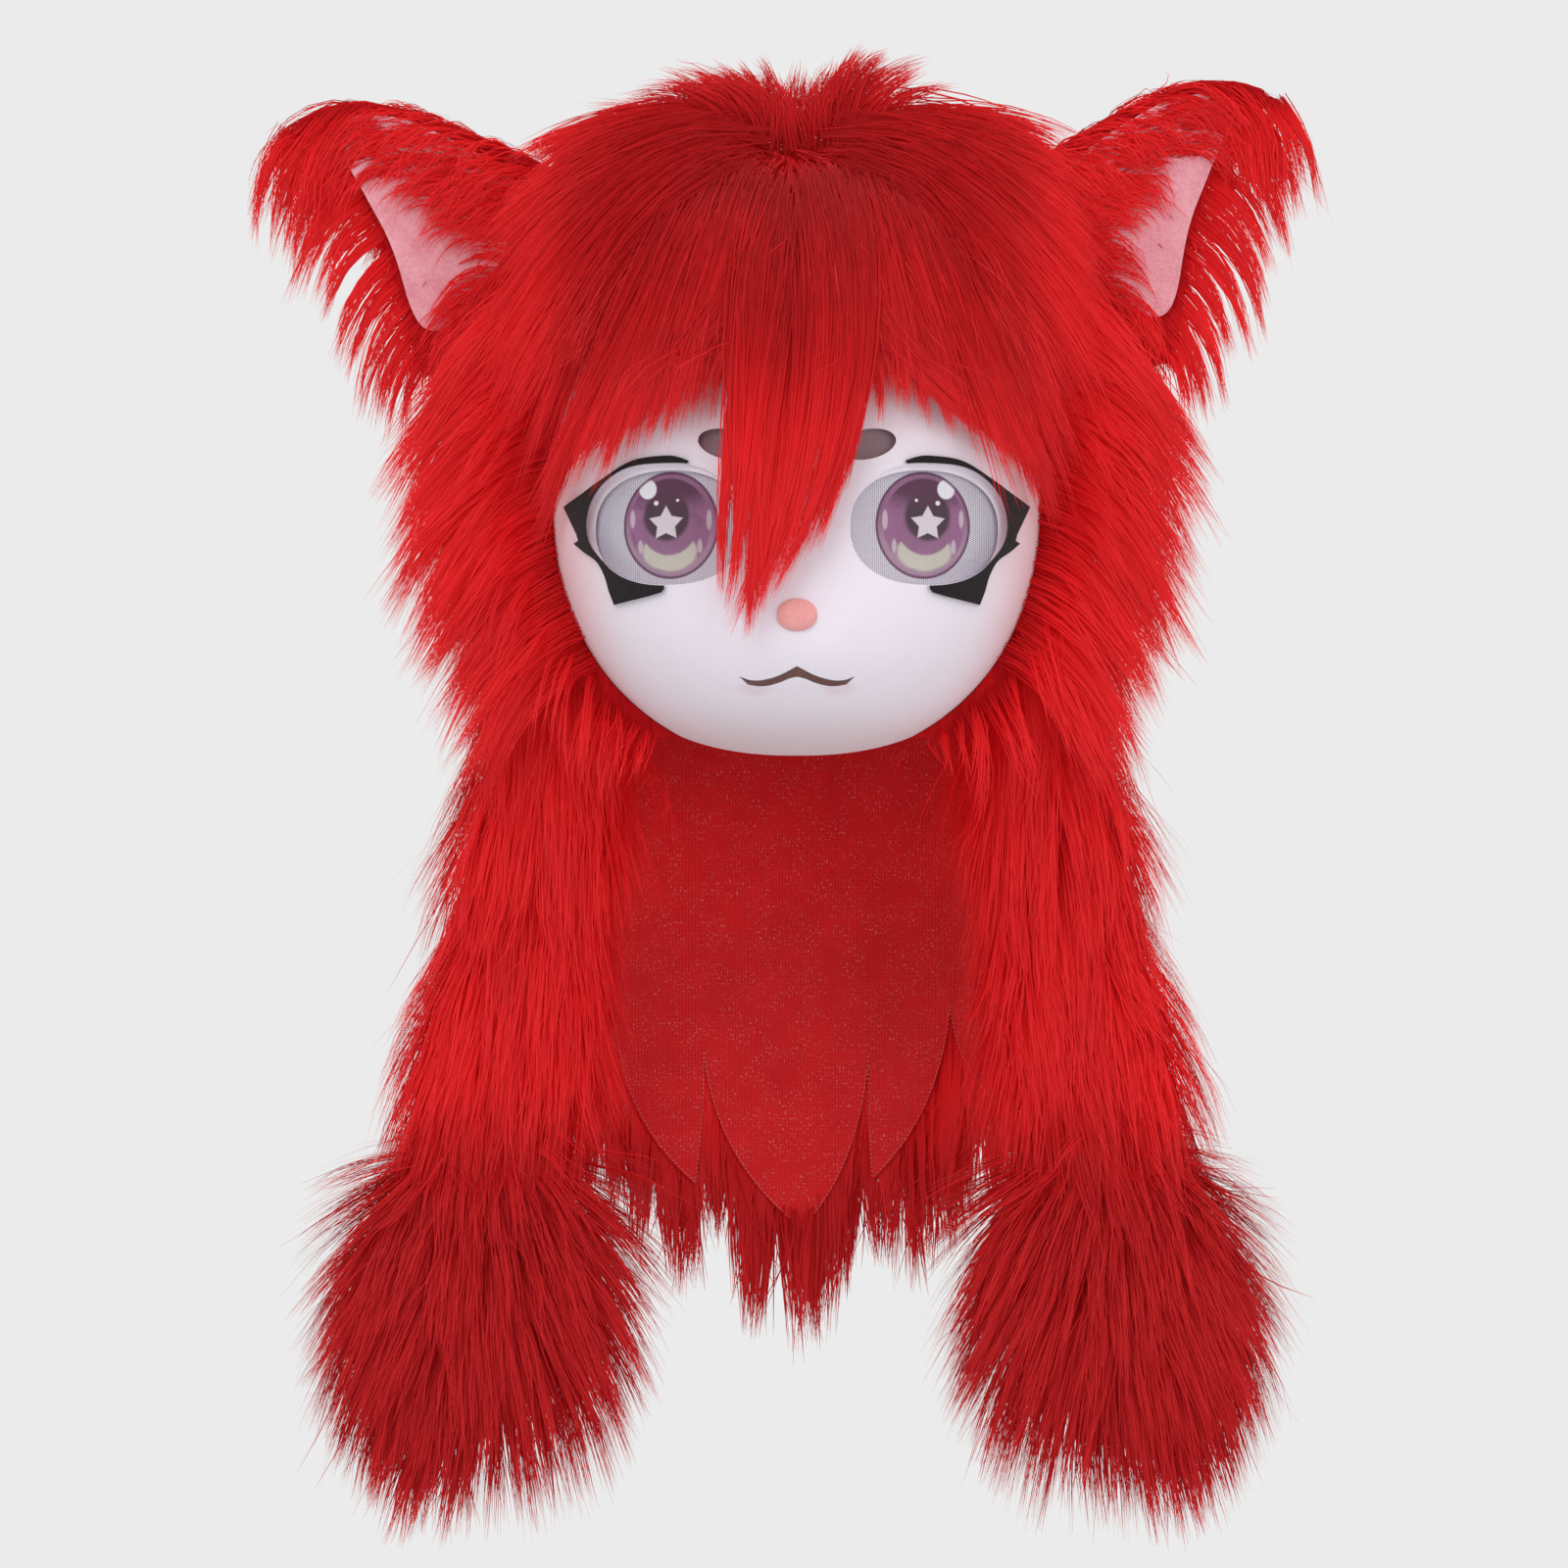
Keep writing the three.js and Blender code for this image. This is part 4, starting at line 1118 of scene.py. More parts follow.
@dataclass
class Strands:
    """Strands as lines of points with their attributes."""

    path: Array
    outward: Array
    tone: Array
    girth: Array

    def joined(self, other: "Strands") -> "Strands":
        """These strands and others of the same number of steps."""
        return Strands(*(np.concatenate(pair) for pair in zip(vars(self).values(), vars(other).values())))

    def part(self, chosen: Array) -> "Strands":
        """Some of the strands."""
        return Strands(*(values[chosen] for values in vars(self).values()))


@dataclass
class Groom:
    """How strands bend, and gather into wisps and the wisps into locks."""

    steps: int = 4
    lock_spacing: float = 24.0
    wisp_spacing: float = 5.5
    lock_pull: float = 0.4
    wisp_pull: float = 0.55
    pull_power: float = 1.5
    droop: float = 0.5
    frizz: float = 1.6
    fluff: float = 5.0
    uneven: float = 0.22
    strays: float = 0.04
    gap: float = 1.5
    girth: float = 1.0
    roll: ClassVar[float] = 0.13
    rise: ClassVar[float] = 5.0
    lean: ClassVar[float] = 5.0
    stray_reach: ClassVar[float] = 9.0

    def lines(self, roots: Roots, backing: Backing | None) -> Array:
        """Lines that leave the roots, fall and stay outside the backing."""
        lift = np.radians(roots.lift)[:, None]
        heading = roots.comb * np.cos(lift) + roots.outward * np.sin(lift)
        place = roots.place.copy()
        made = [place]
        for step in range(self.steps):
            heading = unit(heading + DOWN * self.droop * (step + 0.5) / self.steps)
            place = place + heading * (roots.length / self.steps)[:, None]
            if backing is not None:
                height = self.gap + self.rise * (step + 1) / self.steps
                place = backing.keep_out(place, np.full(len(place), height))
            made.append(place)
        return np.stack(made, axis=1)

    @staticmethod
    def spaced(place: Array, spacing: float, rng: np.random.Generator) -> Array:
        """Numbers of places that are about a spacing apart."""
        cells = np.floor((place + rng.random(3) * spacing) / spacing).astype(np.int64)
        order = rng.permutation(len(place))
        _, first = np.unique(cells[order], axis=0, return_index=True)
        return order[first]

    @staticmethod
    def nearest(place: Array, among: Array) -> Array:
        """For each place, the number of the nearest among others."""
        tree = KDTree(len(among))
        for index, point in enumerate(among):
            tree.insert(point, index)
        tree.balance()
        return np.array([tree.find(point)[1] for point in place])

    @staticmethod
    def along(lines: Array, share: Array) -> Array:
        """Points of lines at shares of their length, one row of shares a line, past the end straight on."""
        steps = lines.shape[1] - 1
        at = share * steps
        low = np.clip(np.floor(at).astype(int), 0, steps - 1)
        rest = (at - low)[..., None]
        rows = np.arange(len(lines))[:, None]
        return lines[rows, low] * (1 - rest) + lines[rows, low + 1] * rest

    def grow(self, roots: Roots, backing: Backing | None, rng: np.random.Generator) -> Strands:
        """Grows strands from roots.

        Args:
            roots: where they start.
            backing: the form they stay outside of, or None.
            rng: the seeded source of chance.

        Returns:
            The strands.
        """
        count = len(roots.place)
        share = np.linspace(0, 1, self.steps + 1)[None, :]
        locks = self.spaced(roots.place, self.lock_spacing, rng)
        wisps = self.spaced(roots.place, self.wisp_spacing, rng)
        lock_roots, wisp_roots = roots.kept(locks), roots.kept(wisps)
        lock_roots.length = lock_roots.length * rng.uniform(0.9, 1.12, len(locks))
        lock_roots.lift = lock_roots.lift + rng.normal(0, self.lean, len(locks))
        lock_lines = self.lines(lock_roots, backing)
        wisp_roots.lift = wisp_roots.lift + rng.normal(0, self.lean, len(wisps))
        wisp_lines = self.lines(wisp_roots, backing)
        of_lock = self.nearest(wisp_roots.place, lock_roots.place)
        strength = (self.lock_pull * rng.uniform(0.5, 1.2, len(wisps)))[:, None, None]
        pull = strength * (share[..., None] ** self.pull_power)
        wisp_lines = wisp_lines + (lock_lines[of_lock] - wisp_lines) * pull
        of_wisp = self.nearest(roots.place, wisp_roots.place)
        reach = 1 + self.uneven * rng.uniform(-1.3, 0.45, count)
        lines = self.along(wisp_lines[of_wisp], share * reach[:, None])
        offset = (roots.place - wisp_roots.place[of_wisp])[:, None, :]
        gather = 1 - (self.wisp_pull * rng.uniform(0.75, 1.1, count))[:, None, None] * share[..., None] ** 0.9
        lines = lines + offset * gather
        wave = rng.normal(0, self.frizz, (count, 1, 3)) * share[..., None] ** 1.5
        rough = rng.normal(0, self.frizz * 0.35, (count, self.steps + 1, 3)) * (share[..., None] > 0)
        full = roots.outward[:, None, :] * (rng.random(count) ** 1.5 * self.fluff)[:, None, None]
        puff = full * share[..., None]
        loose = (rng.random(count) < self.strays)[:, None, None]
        stray = loose * rng.normal(0, self.stray_reach, (count, 1, 3))
        lines = lines + wave + rough + puff + stray * share[..., None] ** 2
        tone = 0.4 * rng.random(len(locks))[of_lock][of_wisp] + 0.3 * rng.random(len(wisps))[of_wisp]
        tone = tone + 0.3 * rng.random(count)
        girth = self.taper(share) * (self.girth * rng.uniform(0.6, 1.25, count))[:, None]
        outward = unit(roots.outward + rng.normal(0, self.roll, (count, 3)))
        return Strands(lines, outward, tone, girth)

    @staticmethod
    def taper(share: Array) -> Array:
        """Girth along a strand, from its root to a fine tip."""
        return (0.55 + 0.45 * ease(share, 0.0, 0.3)) * (1 - share**2.4) + 0.07


@dataclass
class StrandTree:
    """The node tree that turns lines of points into flat strands."""

    name: str = "strands"
    width: float = 0.86

    def build(self) -> bpy.types.NodeTree:
        """Makes the tree."""
        tree = bpy.data.node_groups.new(self.name, "GeometryNodeTree")
        tree.interface.new_socket("Lines", in_out="INPUT", socket_type="NodeSocketGeometry")
        tree.interface.new_socket("Width", in_out="INPUT", socket_type="NodeSocketFloat")
        tree.interface.new_socket("Finish", in_out="INPUT", socket_type="NodeSocketMaterial")
        tree.interface.new_socket("Strands", in_out="OUTPUT", socket_type="NodeSocketGeometry")
        nodes, links = tree.nodes, tree.links
        given = nodes.new("NodeGroupInput")
        curves = nodes.new("GeometryNodeMeshToCurve")
        facing = nodes.new("GeometryNodeSetCurveNormal")
        facing.mode = "FREE"
        outward = nodes.new("GeometryNodeInputNamedAttribute")
        outward.data_type = "FLOAT_VECTOR"
        outward.inputs["Name"].default_value = "outward"
        girth = nodes.new("GeometryNodeInputNamedAttribute")
        girth.data_type = "FLOAT"
        girth.inputs["Name"].default_value = "girth"
        times = nodes.new("ShaderNodeMath")
        times.operation = "MULTIPLY"
        profile = nodes.new("GeometryNodeCurvePrimitiveLine")
        profile.inputs["Start"].default_value = (0.0, -0.5, 0.0)
        profile.inputs["End"].default_value = (0.0, 0.5, 0.0)
        flat = nodes.new("GeometryNodeCurveToMesh")
        soft = nodes.new("GeometryNodeSetShadeSmooth")
        real = nodes.new("GeometryNodeRealizeInstances")
        finish = nodes.new("GeometryNodeSetMaterial")
        out = nodes.new("NodeGroupOutput")
        links.new(given.outputs["Lines"], curves.inputs["Mesh"])
        links.new(curves.outputs[0], facing.inputs["Curve"])
        links.new(outward.outputs["Attribute"], facing.inputs["Normal"])
        links.new(facing.outputs[0], flat.inputs["Curve"])
        links.new(profile.outputs[0], flat.inputs["Profile Curve"])
        links.new(girth.outputs["Attribute"], times.inputs[0])
        links.new(given.outputs["Width"], times.inputs[1])
        links.new(times.outputs[0], flat.inputs["Scale"])
        links.new(flat.outputs[0], soft.inputs["Geometry"])
        links.new(soft.outputs[0], real.inputs["Geometry"])
        links.new(real.outputs[0], finish.inputs["Geometry"])
        links.new(given.outputs["Finish"], finish.inputs["Material"])
        links.new(finish.outputs[0], out.inputs[0])
        return tree

    def bake(
        self,
        tree: bpy.types.NodeTree,
        name: str,
        strands: Strands,
        material: bpy.types.Material,
    ) -> bpy.types.Object:
        """Makes one piece of strands.

        Args:
            tree: the tree from build.
            name: the piece's name.
            strands: the strands, in the head's millimetres.
            material: their finish.

        Returns:
            The piece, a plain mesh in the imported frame.
        """
        count, points = strands.path.shape[:2]
        place = (strands.path - (0.0, 0.0, FORM_DROP)) / METRE
        mesh = bpy.data.meshes.new(name)
        mesh.vertices.add(count * points)
        mesh.vertices.foreach_set("co", place.astype(np.float32).ravel())
        first = (np.arange(count)[:, None] * points + np.arange(points - 1)[None, :]).ravel()
        mesh.edges.add(len(first))
        mesh.edges.foreach_set("vertices", np.stack([first, first + 1], axis=1).astype(np.int32).ravel())
        along = np.broadcast_to(np.linspace(0, 1, points), (count, points))
        tone = np.broadcast_to(strands.tone[:, None], (count, points))
        for key, values in (("along", along), ("tone", tone), ("girth", strands.girth)):
            layer = mesh.attributes.new(key, "FLOAT", "POINT")
            layer.data.foreach_set("value", np.ascontiguousarray(values, dtype=np.float32).ravel())
        tangent = unit(np.gradient(strands.path, axis=1))
        facing = np.broadcast_to(strands.outward[:, None, :], tangent.shape)
        facing = unit(facing - (facing * tangent).sum(axis=-1, keepdims=True) * tangent)
        layer = mesh.attributes.new("outward", "FLOAT_VECTOR", "POINT")
        layer.data.foreach_set("vector", np.ascontiguousarray(facing, dtype=np.float32).ravel())
        thing = linked(name, mesh)
        run_tree(thing, tree, Width=self.width / METRE, Finish=material)
        thing.data.name = name
        for key in ("girth", "outward"):
            if key in thing.data.attributes:
                thing.data.attributes.remove(thing.data.attributes[key])
        return thing


@dataclass
class StitchTree:
    """The node tree that lays short stitches along a line."""

    name: str = "stitches"
    spacing: float = 2.4
    long: float = 0.9
    thick: float = 0.32

    def build(self) -> bpy.types.NodeTree:
        """Makes the tree."""
        tree = bpy.data.node_groups.new(self.name, "GeometryNodeTree")
        tree.interface.new_socket("Line", in_out="INPUT", socket_type="NodeSocketGeometry")
        tree.interface.new_socket("Spacing", in_out="INPUT", socket_type="NodeSocketFloat")
        tree.interface.new_socket("Finish", in_out="INPUT", socket_type="NodeSocketMaterial")
        tree.interface.new_socket("Stitches", in_out="OUTPUT", socket_type="NodeSocketGeometry")
        nodes, links = tree.nodes, tree.links
        given = nodes.new("NodeGroupInput")
        curves = nodes.new("GeometryNodeMeshToCurve")
        points = nodes.new("GeometryNodeCurveToPoints")
        points.mode = "LENGTH"
        knot = nodes.new("GeometryNodeMeshIcoSphere")
        knot.inputs["Radius"].default_value = 1.0
        knot.inputs["Subdivisions"].default_value = 1
        laid = nodes.new("GeometryNodeInstanceOnPoints")
        laid.inputs["Scale"].default_value = (self.thick / METRE, self.thick / METRE, self.long / METRE)
        real = nodes.new("GeometryNodeRealizeInstances")
        finish = nodes.new("GeometryNodeSetMaterial")
        out = nodes.new("NodeGroupOutput")
        links.new(given.outputs["Line"], curves.inputs["Mesh"])
        links.new(curves.outputs[0], points.inputs["Curve"])
        links.new(given.outputs["Spacing"], points.inputs["Length"])
        links.new(points.outputs["Points"], laid.inputs["Points"])
        links.new(points.outputs["Rotation"], laid.inputs["Rotation"])
        links.new(knot.outputs[0], laid.inputs["Instance"])
        links.new(laid.outputs[0], real.inputs["Geometry"])
        links.new(real.outputs[0], finish.inputs["Geometry"])
        links.new(given.outputs["Finish"], finish.inputs["Material"])
        links.new(finish.outputs[0], out.inputs[0])
        return tree

    def bake(
        self,
        tree: bpy.types.NodeTree,
        name: str,
        line: Array,
        material: bpy.types.Material,
    ) -> bpy.types.Object:
        """Makes one piece of stitches along a line in the head's millimetres."""
        mesh = bpy.data.meshes.new(name)
        place = (line - (0.0, 0.0, FORM_DROP)) / METRE
        mesh.from_pydata([tuple(point) for point in place], [(i, i + 1) for i in range(len(place) - 1)], [])
        thing = linked(name, mesh)
        run_tree(thing, tree, Spacing=self.spacing / METRE, Finish=material)
        thing.data.name = name
        thing.data.shade_smooth()
        return thing


@dataclass
class Salon:
    """The finishes and the trees that the furry pieces share."""

    tree: bpy.types.NodeTree
    maker: StrandTree
    stitch_tree: bpy.types.NodeTree
    stitcher: StitchTree
    pile: bpy.types.Material
    under: bpy.types.Material
    low: Triple = (-290.0, -173.0, -413.0)
    high: Triple = (284.0, 216.0, 386.0)
    soft: float = 9.0

    def within(self, path: Array) -> Array:
        """Bends the furthest strands back into the room round the head."""
        for axis in range(3):
            over = path[..., axis] - (self.high[axis] - self.soft)
            under = self.low[axis] + self.soft - path[..., axis]
            path[..., axis] -= np.where(over > 0, over - self.soft * (1 - np.exp(-over / self.soft)), 0)
            path[..., axis] += np.where(under > 0, under - self.soft * (1 - np.exp(-under / self.soft)), 0)
        return path

    def strands(self, name: str, strands: Strands) -> bpy.types.Object:
        """Bakes and dresses one piece of strands."""
        strands.path = self.within(strands.path)
        return dress(self.maker.bake(self.tree, name, strands, self.pile), self.pile)

    def stitches(self, name: str, line: Array, thread: bpy.types.Material) -> bpy.types.Object:
        """Bakes stitches along a line."""
        return self.stitcher.bake(self.stitch_tree, name, line, thread)


@dataclass
class FaceMask:
    """The white plush mask with its openings, ledges, mouth line and nose."""

    form: HeadForm
    wall: float = 4.5
    ledge: float = 2.2
    eye_out: float = 64.0
    eye_height: float = 118.0
    eye_width: float = 75.0
    eye_tall: float = 57.0
    rim_width: float = 4.6
    brow_out: float = 35.0
    brow_height: float = 159.0
    brow_width: float = 29.0
    brow_tall: float = 15.0
    mouth_width: float = 56.0
    mouth_tall: float = 9.0
    mouth_height: float = 39.2
    nose_width: float = 20.0
    nose_tall: float = 16.0
    nose_out: float = 4.2
    nose_height: float = 74.0
    lash_thick: float = 2.0
    upper: Outline = field(
        default_factory=lambda: [(0, 1), (0.31, 0.5), (0.61, 0.24), (0.82, 0.25), (1, 0.46)]
    )
    lower: Outline = field(
        default_factory=lambda: [(0.85, 0.09), (0.61, 0), (0.37, 0.13), (0.14, 0.41), (0, 0.52)]
    )
    lash_top: Outline = field(
        default_factory=lambda: [
            (-0.27, 1.15),
            (-0.13, 1.22),
            (0.06, 1.25),
            (0.5, 1.18),
            (0.93, 0.87),
            (1.18, 0.66),
        ]
    )
    lash_spikes: Outline = field(
        default_factory=lambda: [(1.46, 0.45), (1.27, -0.06), (1.245, -0.175), (1.312, -0.218)]
    )
    lash_low: Outline = field(
        default_factory=lambda: [(1.17, -0.38), (0.99, -0.56), (0.88, -0.82), (0.82, -1.09)]
    )
    lash_foot: Outline = field(
        default_factory=lambda: [(0.75, -1.33), (0.28, -1.2), (0.1, -1.135), (0.065, -1.075)]
    )

    def oval(
        self,
        size: Pair,
        middle: Pair,
        power: float = 2.0,
        tilt: float = 0.0,
        side: Side = Side.RIGHT,
        count: int = 96,
    ) -> Array:
        """A rounded outline in the front view, on one side of the head."""
        angle = np.linspace(0, math.tau, count, endpoint=False)
        x = size[0] / 2 * signed_power(np.cos(angle), 2 / power)
        z = size[1] / 2 * signed_power(np.sin(angle), 2 / power)
        lean = math.radians(tilt)
        across = x * math.cos(lean) - z * math.sin(lean) + middle[0]
        up = x * math.sin(lean) + z * math.cos(lean) + middle[1]
        return np.stack([side.value * across, up], axis=1)

    def eye(self, side: Side, grow: float = 0.0) -> Array:
        """Outline of an eye opening."""
        size = (self.eye_width + 2 * grow, self.eye_tall + 2 * grow)
        return self.oval(size, (self.eye_out, self.eye_height), 2.3, 0.0, side)

    def rim(self, side: Side, grow: float = 0.0) -> Array:
        """Outline of the ledge beside and above an eye opening."""
        eye = self.eye(Side.RIGHT, grow) - (self.eye_out, self.eye_height)
        angle = np.linspace(0, 360, len(eye), endpoint=False)
        angle = np.where(angle > 180, angle - 360, angle)
        flank = self.rim_width * ease(angle, -34, 6)
        offset = flank * (1 - 0.35 * ease(angle, 55, 90)) * ease(angle, 150, 95)
        around = np.roll(eye, -1, axis=0) - np.roll(eye, 1, axis=0)
        normal = unit(np.stack([around[:, 1], -around[:, 0]], axis=1))
        edge = eye + normal * (offset + 0.25)[:, None] + (self.eye_out, self.eye_height)
        return edge * (side.value, 1)

    def brow(self, side: Side, grow: float = 0.0) -> Array:
        """Outline of a brow vent."""
        size = (self.brow_width + 2 * grow, self.brow_tall + 2 * grow)
        return self.oval(size, (self.brow_out, self.brow_height), 2.0, 12.0, side, 64)

    def mouth(self, grow: float = 0.0) -> Array:
        """Outline of the mouth line."""

        def placed(line: Outline, offset: float) -> Array:
            """Points of one edge in millimetres."""
            smooth_line = flowing(line, 6)
            x = smooth_line[:, 0] * (self.mouth_width / 2 + 3 * grow)
            return np.stack([x, self.mouth_height + smooth_line[:, 1] * self.mouth_tall + offset], axis=1)

        right = np.vstack([placed(self.upper, 1.5 * grow), placed(self.lower, -1.5 * grow)])
        left = right[1:-1][::-1] * (-1, 1)
        return np.vstack([right, left])

    def lash(self, side: Side) -> Array:
        """Outline of a lash, with its spikes."""
        edge = np.vstack(
            [
                [(-0.2, 1.04)],
                flowing(self.lash_top, 6),
                self.lash_spikes,
                flowing(self.lash_low, 5),
                self.lash_foot,
                [(0.05, -0.9), (0.05, 1.04)],
            ]
        )
        x = self.eye_out + edge[:, 0] * self.eye_width / 2
        return np.stack([side.value * x, self.eye_height + edge[:, 1] * self.eye_tall / 2], axis=1)

    def layer(self, outline: Array, outer: float, inner: float) -> bpy.types.Object:
        """A layer that follows the face, between two offsets from it."""
        tool = prism(outline)
        shape(tool, Cut.KEEP, self.form.block(outer, 240, 150))
        return shape(tool, Cut.TAKE, self.form.block(inner, 160, 100))

    def shell(self) -> bpy.types.Object:
        """The mask's wall with its openings, ledges and mouth groove."""
        body = self.form.block(0.0, 260, 170)
        shape(body, Cut.TAKE, self.form.block(-self.wall, 120, 80), below_neck())
        shape(body, Cut.KEEP, box((-FAR, -FAR, -FAR), (FAR, -FACE_EDGE, HAIRLINE)))
        for side in Side:
            shape(body, Cut.TAKE, prism(self.eye(side)), prism(self.brow(side)))
            ledge = shape(prism(self.rim(side)), Cut.TAKE, self.form.block(-self.ledge, 160, 100))
            shape(body, Cut.TAKE, ledge)
        groove = shape(prism(self.mouth(0.3)), Cut.TAKE, self.form.block(-1.8, 200, 130))
        return shape(body, Cut.TAKE, groove)

    def nose_pad(self) -> bpy.types.Object:
        """A crowned oval pad that sits on the muzzle."""
        rings = []
        base = float(self.form.face_y(np.array(0.0), np.array(self.nose_height), 0.0))
        for depth in np.linspace(0.02, 1.0, 14):
            size = (1 - depth**2.2) ** 0.5 if depth < 1 else 0.0
            angle = np.linspace(0, math.tau, 56, endpoint=False)
            x = self.nose_width / 2 * max(size, 0.02) * signed_power(np.cos(angle), 0.92)
            z = self.nose_tall / 2 * max(size, 0.02) * signed_power(np.sin(angle), 0.92)
            sag = self.form.face_y(x, self.nose_height + z, 0.0) - base
            y = base + sag * (1 - depth) - GAP - self.nose_out * depth
            rings.append(np.stack([x, y, self.nose_height + z], axis=1))
        return loft("nose", rings)

    def build(self, finishes: dict[str, bpy.types.Material]) -> None:
        """Makes and dresses the mask and all that is set in it."""
        shell = to_frame(smooth(self.shell(), 28.0), "mask_plush")
        dress(shell, finishes["mask"], ["face_shell"])
        line = self.layer(self.mouth(0.0), -0.35, -1.5)
        dress(to_frame(smooth(line), "mouth_line"), finishes["mouth"], ["mouth"])
        pad = to_frame(smooth(self.nose_pad(), 60.0), "nose_velour")
        dress(pad, finishes["nose"], ["nose"])
        back = -self.wall - GAP
        for side in Side:
            eye = self.layer(self.eye(side, 5.0), back, back - 1.2)
            eye = to_frame(smooth(eye), f"eye_mesh_{side.word}")
            dress(eye, finishes["eye"], [f"eye_screen_{side.word}"])
            brow = self.layer(self.brow(side, 4.0), back, back - 1.2)
            brow = to_frame(smooth(brow), f"brow_mesh_{side.word}")
            dress(brow, finishes["brow"], [f"brow_screen_{side.word}"])
            lash = self.layer(self.lash(side), GAP + self.lash_thick, GAP)
            shape(lash, Cut.TAKE, prism(self.rim(side, 0.3)))
            lash = to_frame(smooth(lash), f"lash_felt_{side.word}")
            dress(lash, finishes["felt"], [f"lash_{side.word}"])


@dataclass
class HoodLining:
    """The smooth knit-lined wall of the hood, seen from below through the neck."""

    form: HeadForm
    wall: float = 5.0

    def build(self, finishes: dict[str, bpy.types.Material]) -> None:
        """Makes and dresses the wall."""
        body = self.form.block(0.0, 88, 56)
        shape(body, Cut.TAKE, self.form.block(-self.wall, 72, 48), below_neck())
        shape(body, Cut.TAKE, box((-FAR, -FAR, -FAR), (FAR, GAP - FACE_EDGE, HAIRLINE + GAP)))
        body = to_frame(smooth(body), "hood_lining")
        dress(body, finishes["lining"], ["hood_shell"])


@dataclass
class Coat:
    """The long fur of the hood, combed from a whorl above the forehead."""

    form: HeadForm
    seed: int = 11
    count: int = 70000
    rim_count: int = 60000
    depth: float = -9.0
    whorl: Triple = (-4.0, -40.0, 322.0)
    fringe_top: float = 236.0
    reach: float = 1.1
    layers: tuple[tuple[float, float, int, int, float], ...] = (
        (-27.0, 16.0, 62, 1500, 0.15),
        (-6.0, 10.0, 40, 1000, 0.5),
        (24.0, 2.0, 34, 750, 0.9),
    )
    sweep: list[tuple[Pair, Pair, Pair]] = field(
        default_factory=lambda: [
            ((106, 252), (152, 248), (184, 190)),
            ((116, 234), (166, 228), (198, 160)),
            ((124, 214), (174, 208), (206, 138)),
            ((126, 182), (174, 174), (203, 104)),
            ((126, 150), (170, 140), (198, 70)),
            ((124, 118), (164, 106), (190, 42)),
            ((118, 86), (154, 72), (178, 14)),
            ((106, 56), (136, 40), (158, -20)),
        ]
    )

    def base(self) -> bpy.types.Object:
        """The closed underpile, open round the face."""

        def point(turn: Array, height: Array) -> Array:
            """A point of the coat below its outer form, thinning out towards the hairline."""
            ahead = ease(np.cos(turn), 0.35, 0.7) * (1 - ease(height, HAIRLINE, HAIRLINE + 50))
            full = self.form.coat_point(turn, height, self.depth, 0.62)
            thin = self.form.point(turn, height, 1.2)
            return full + (thin - full) * ahead[:, None]

        body = self.form.block(self.form.coat_depth + self.depth, 96, 60, point)
        shape(body, Cut.TAKE, self.form.block(GAP, 96, 60), below_neck())
        return shape(body, Cut.TAKE, box((-FAR, -FAR, -FAR), (FAR, -FACE_EDGE + GAP, HAIRLINE + GAP)))

    @staticmethod
    def rim(place: Array, outward: Array) -> Array:
        """Mask of the face that rings the mask."""
        return (outward[:, 1] < -0.93) & (place[:, 1] < -FACE_EDGE + 6.0) & (place[:, 2] < HAIRLINE + 2.0)

    def comb(self, place: Array, outward: Array) -> Array:
        """Away from the whorl and down, and at the sides and the rim also outwards."""
        away = unit(place - np.array(self.whorl))
        low = ease(place[:, 2], 300, 220)
        way = away + DOWN * (0.2 + 0.4 * low)[:, None]
        side = np.zeros_like(place)
        side[:, 0] = np.sign(place[:, 0])
        reach = ease(place[:, 2], 20, 110) * low
        way = way + side * (0.3 * reach)[:, None]
        radial = unit((place - (0, 0, 118)) * (1, 0, 1))
        rim = self.rim(place, outward)[:, None]
        fall = 0.75 + 1.3 * ease(place[:, 2], 110, 40)
        return np.where(rim, radial + side * 0.35 + DOWN * fall[:, None], way)

    def length(self, place: Array, outward: Array) -> Array:
        """Longer at the sides, and over the forehead no longer than to the hairline."""
        nape = 30 * ease(place[:, 2], 120, 70) * ease(place[:, 1], 40, 80)
        length = 72 + 14 * ease(place[:, 2], 240, 120) + nape
        ahead = ease(-place[:, 1], 30, 60) * ease(np.abs(place[:, 0]), 128, 100)
        near = ease(np.linalg.norm(place - np.array(self.whorl), axis=1), 85, 35)
        length = length * (1 - 0.5 * near)
        limit = np.maximum(24.0, (place[:, 2] - 186.0) * 1.1)
        length = np.where(ahead > 0.5, np.minimum(length, limit), length)
        low = ease(place[:, 2], 60, 14) * ease(np.abs(place[:, 0]), 100, 70)
        return np.where(self.rim(place, outward), 66 - 46 * low, length)

    def lift(self, place: Array, outward: Array) -> Array:
        """Flatter on the rear, and standing off at the sides, the top and the rim."""
        side = ease(place[:, 2], 250, 150) * ease(place[:, 2], 10, 60)
        top = ease(place[:, 2], 262, 300)
        near = ease(np.linalg.norm(place - np.array(self.whorl), axis=1), 85, 35)
        return np.where(self.rim(place, outward), 40.0, 13 + 22 * side + 8 * top - 17 * near)

    def wanted(self, place: Array, outward: Array, rng: np.random.Generator) -> Array:
        """Roots on the outer side and the rim, fewer on the rear."""
        x, y, z = place.T
        middle = np.stack([x, y, (z - 140.0) * 0.7], axis=1)
        outer = (unit(middle) * outward).sum(axis=1) > 0.15
        rim = self.rim(place, outward)
        face = (y < -FACE_EDGE + 3.0) & (z < self.fringe_top)
        share = np.where(y > 60, 0.18, np.where(y > 20, 0.42, 1.0))
        share = np.where((z > 215) & (y > 0), np.minimum(share, 0.4), share)
        chosen = rng.random(len(place)) < share
        return ((outer & ~face) | rim) & chosen & (z > neck_height(y) + 2.0)

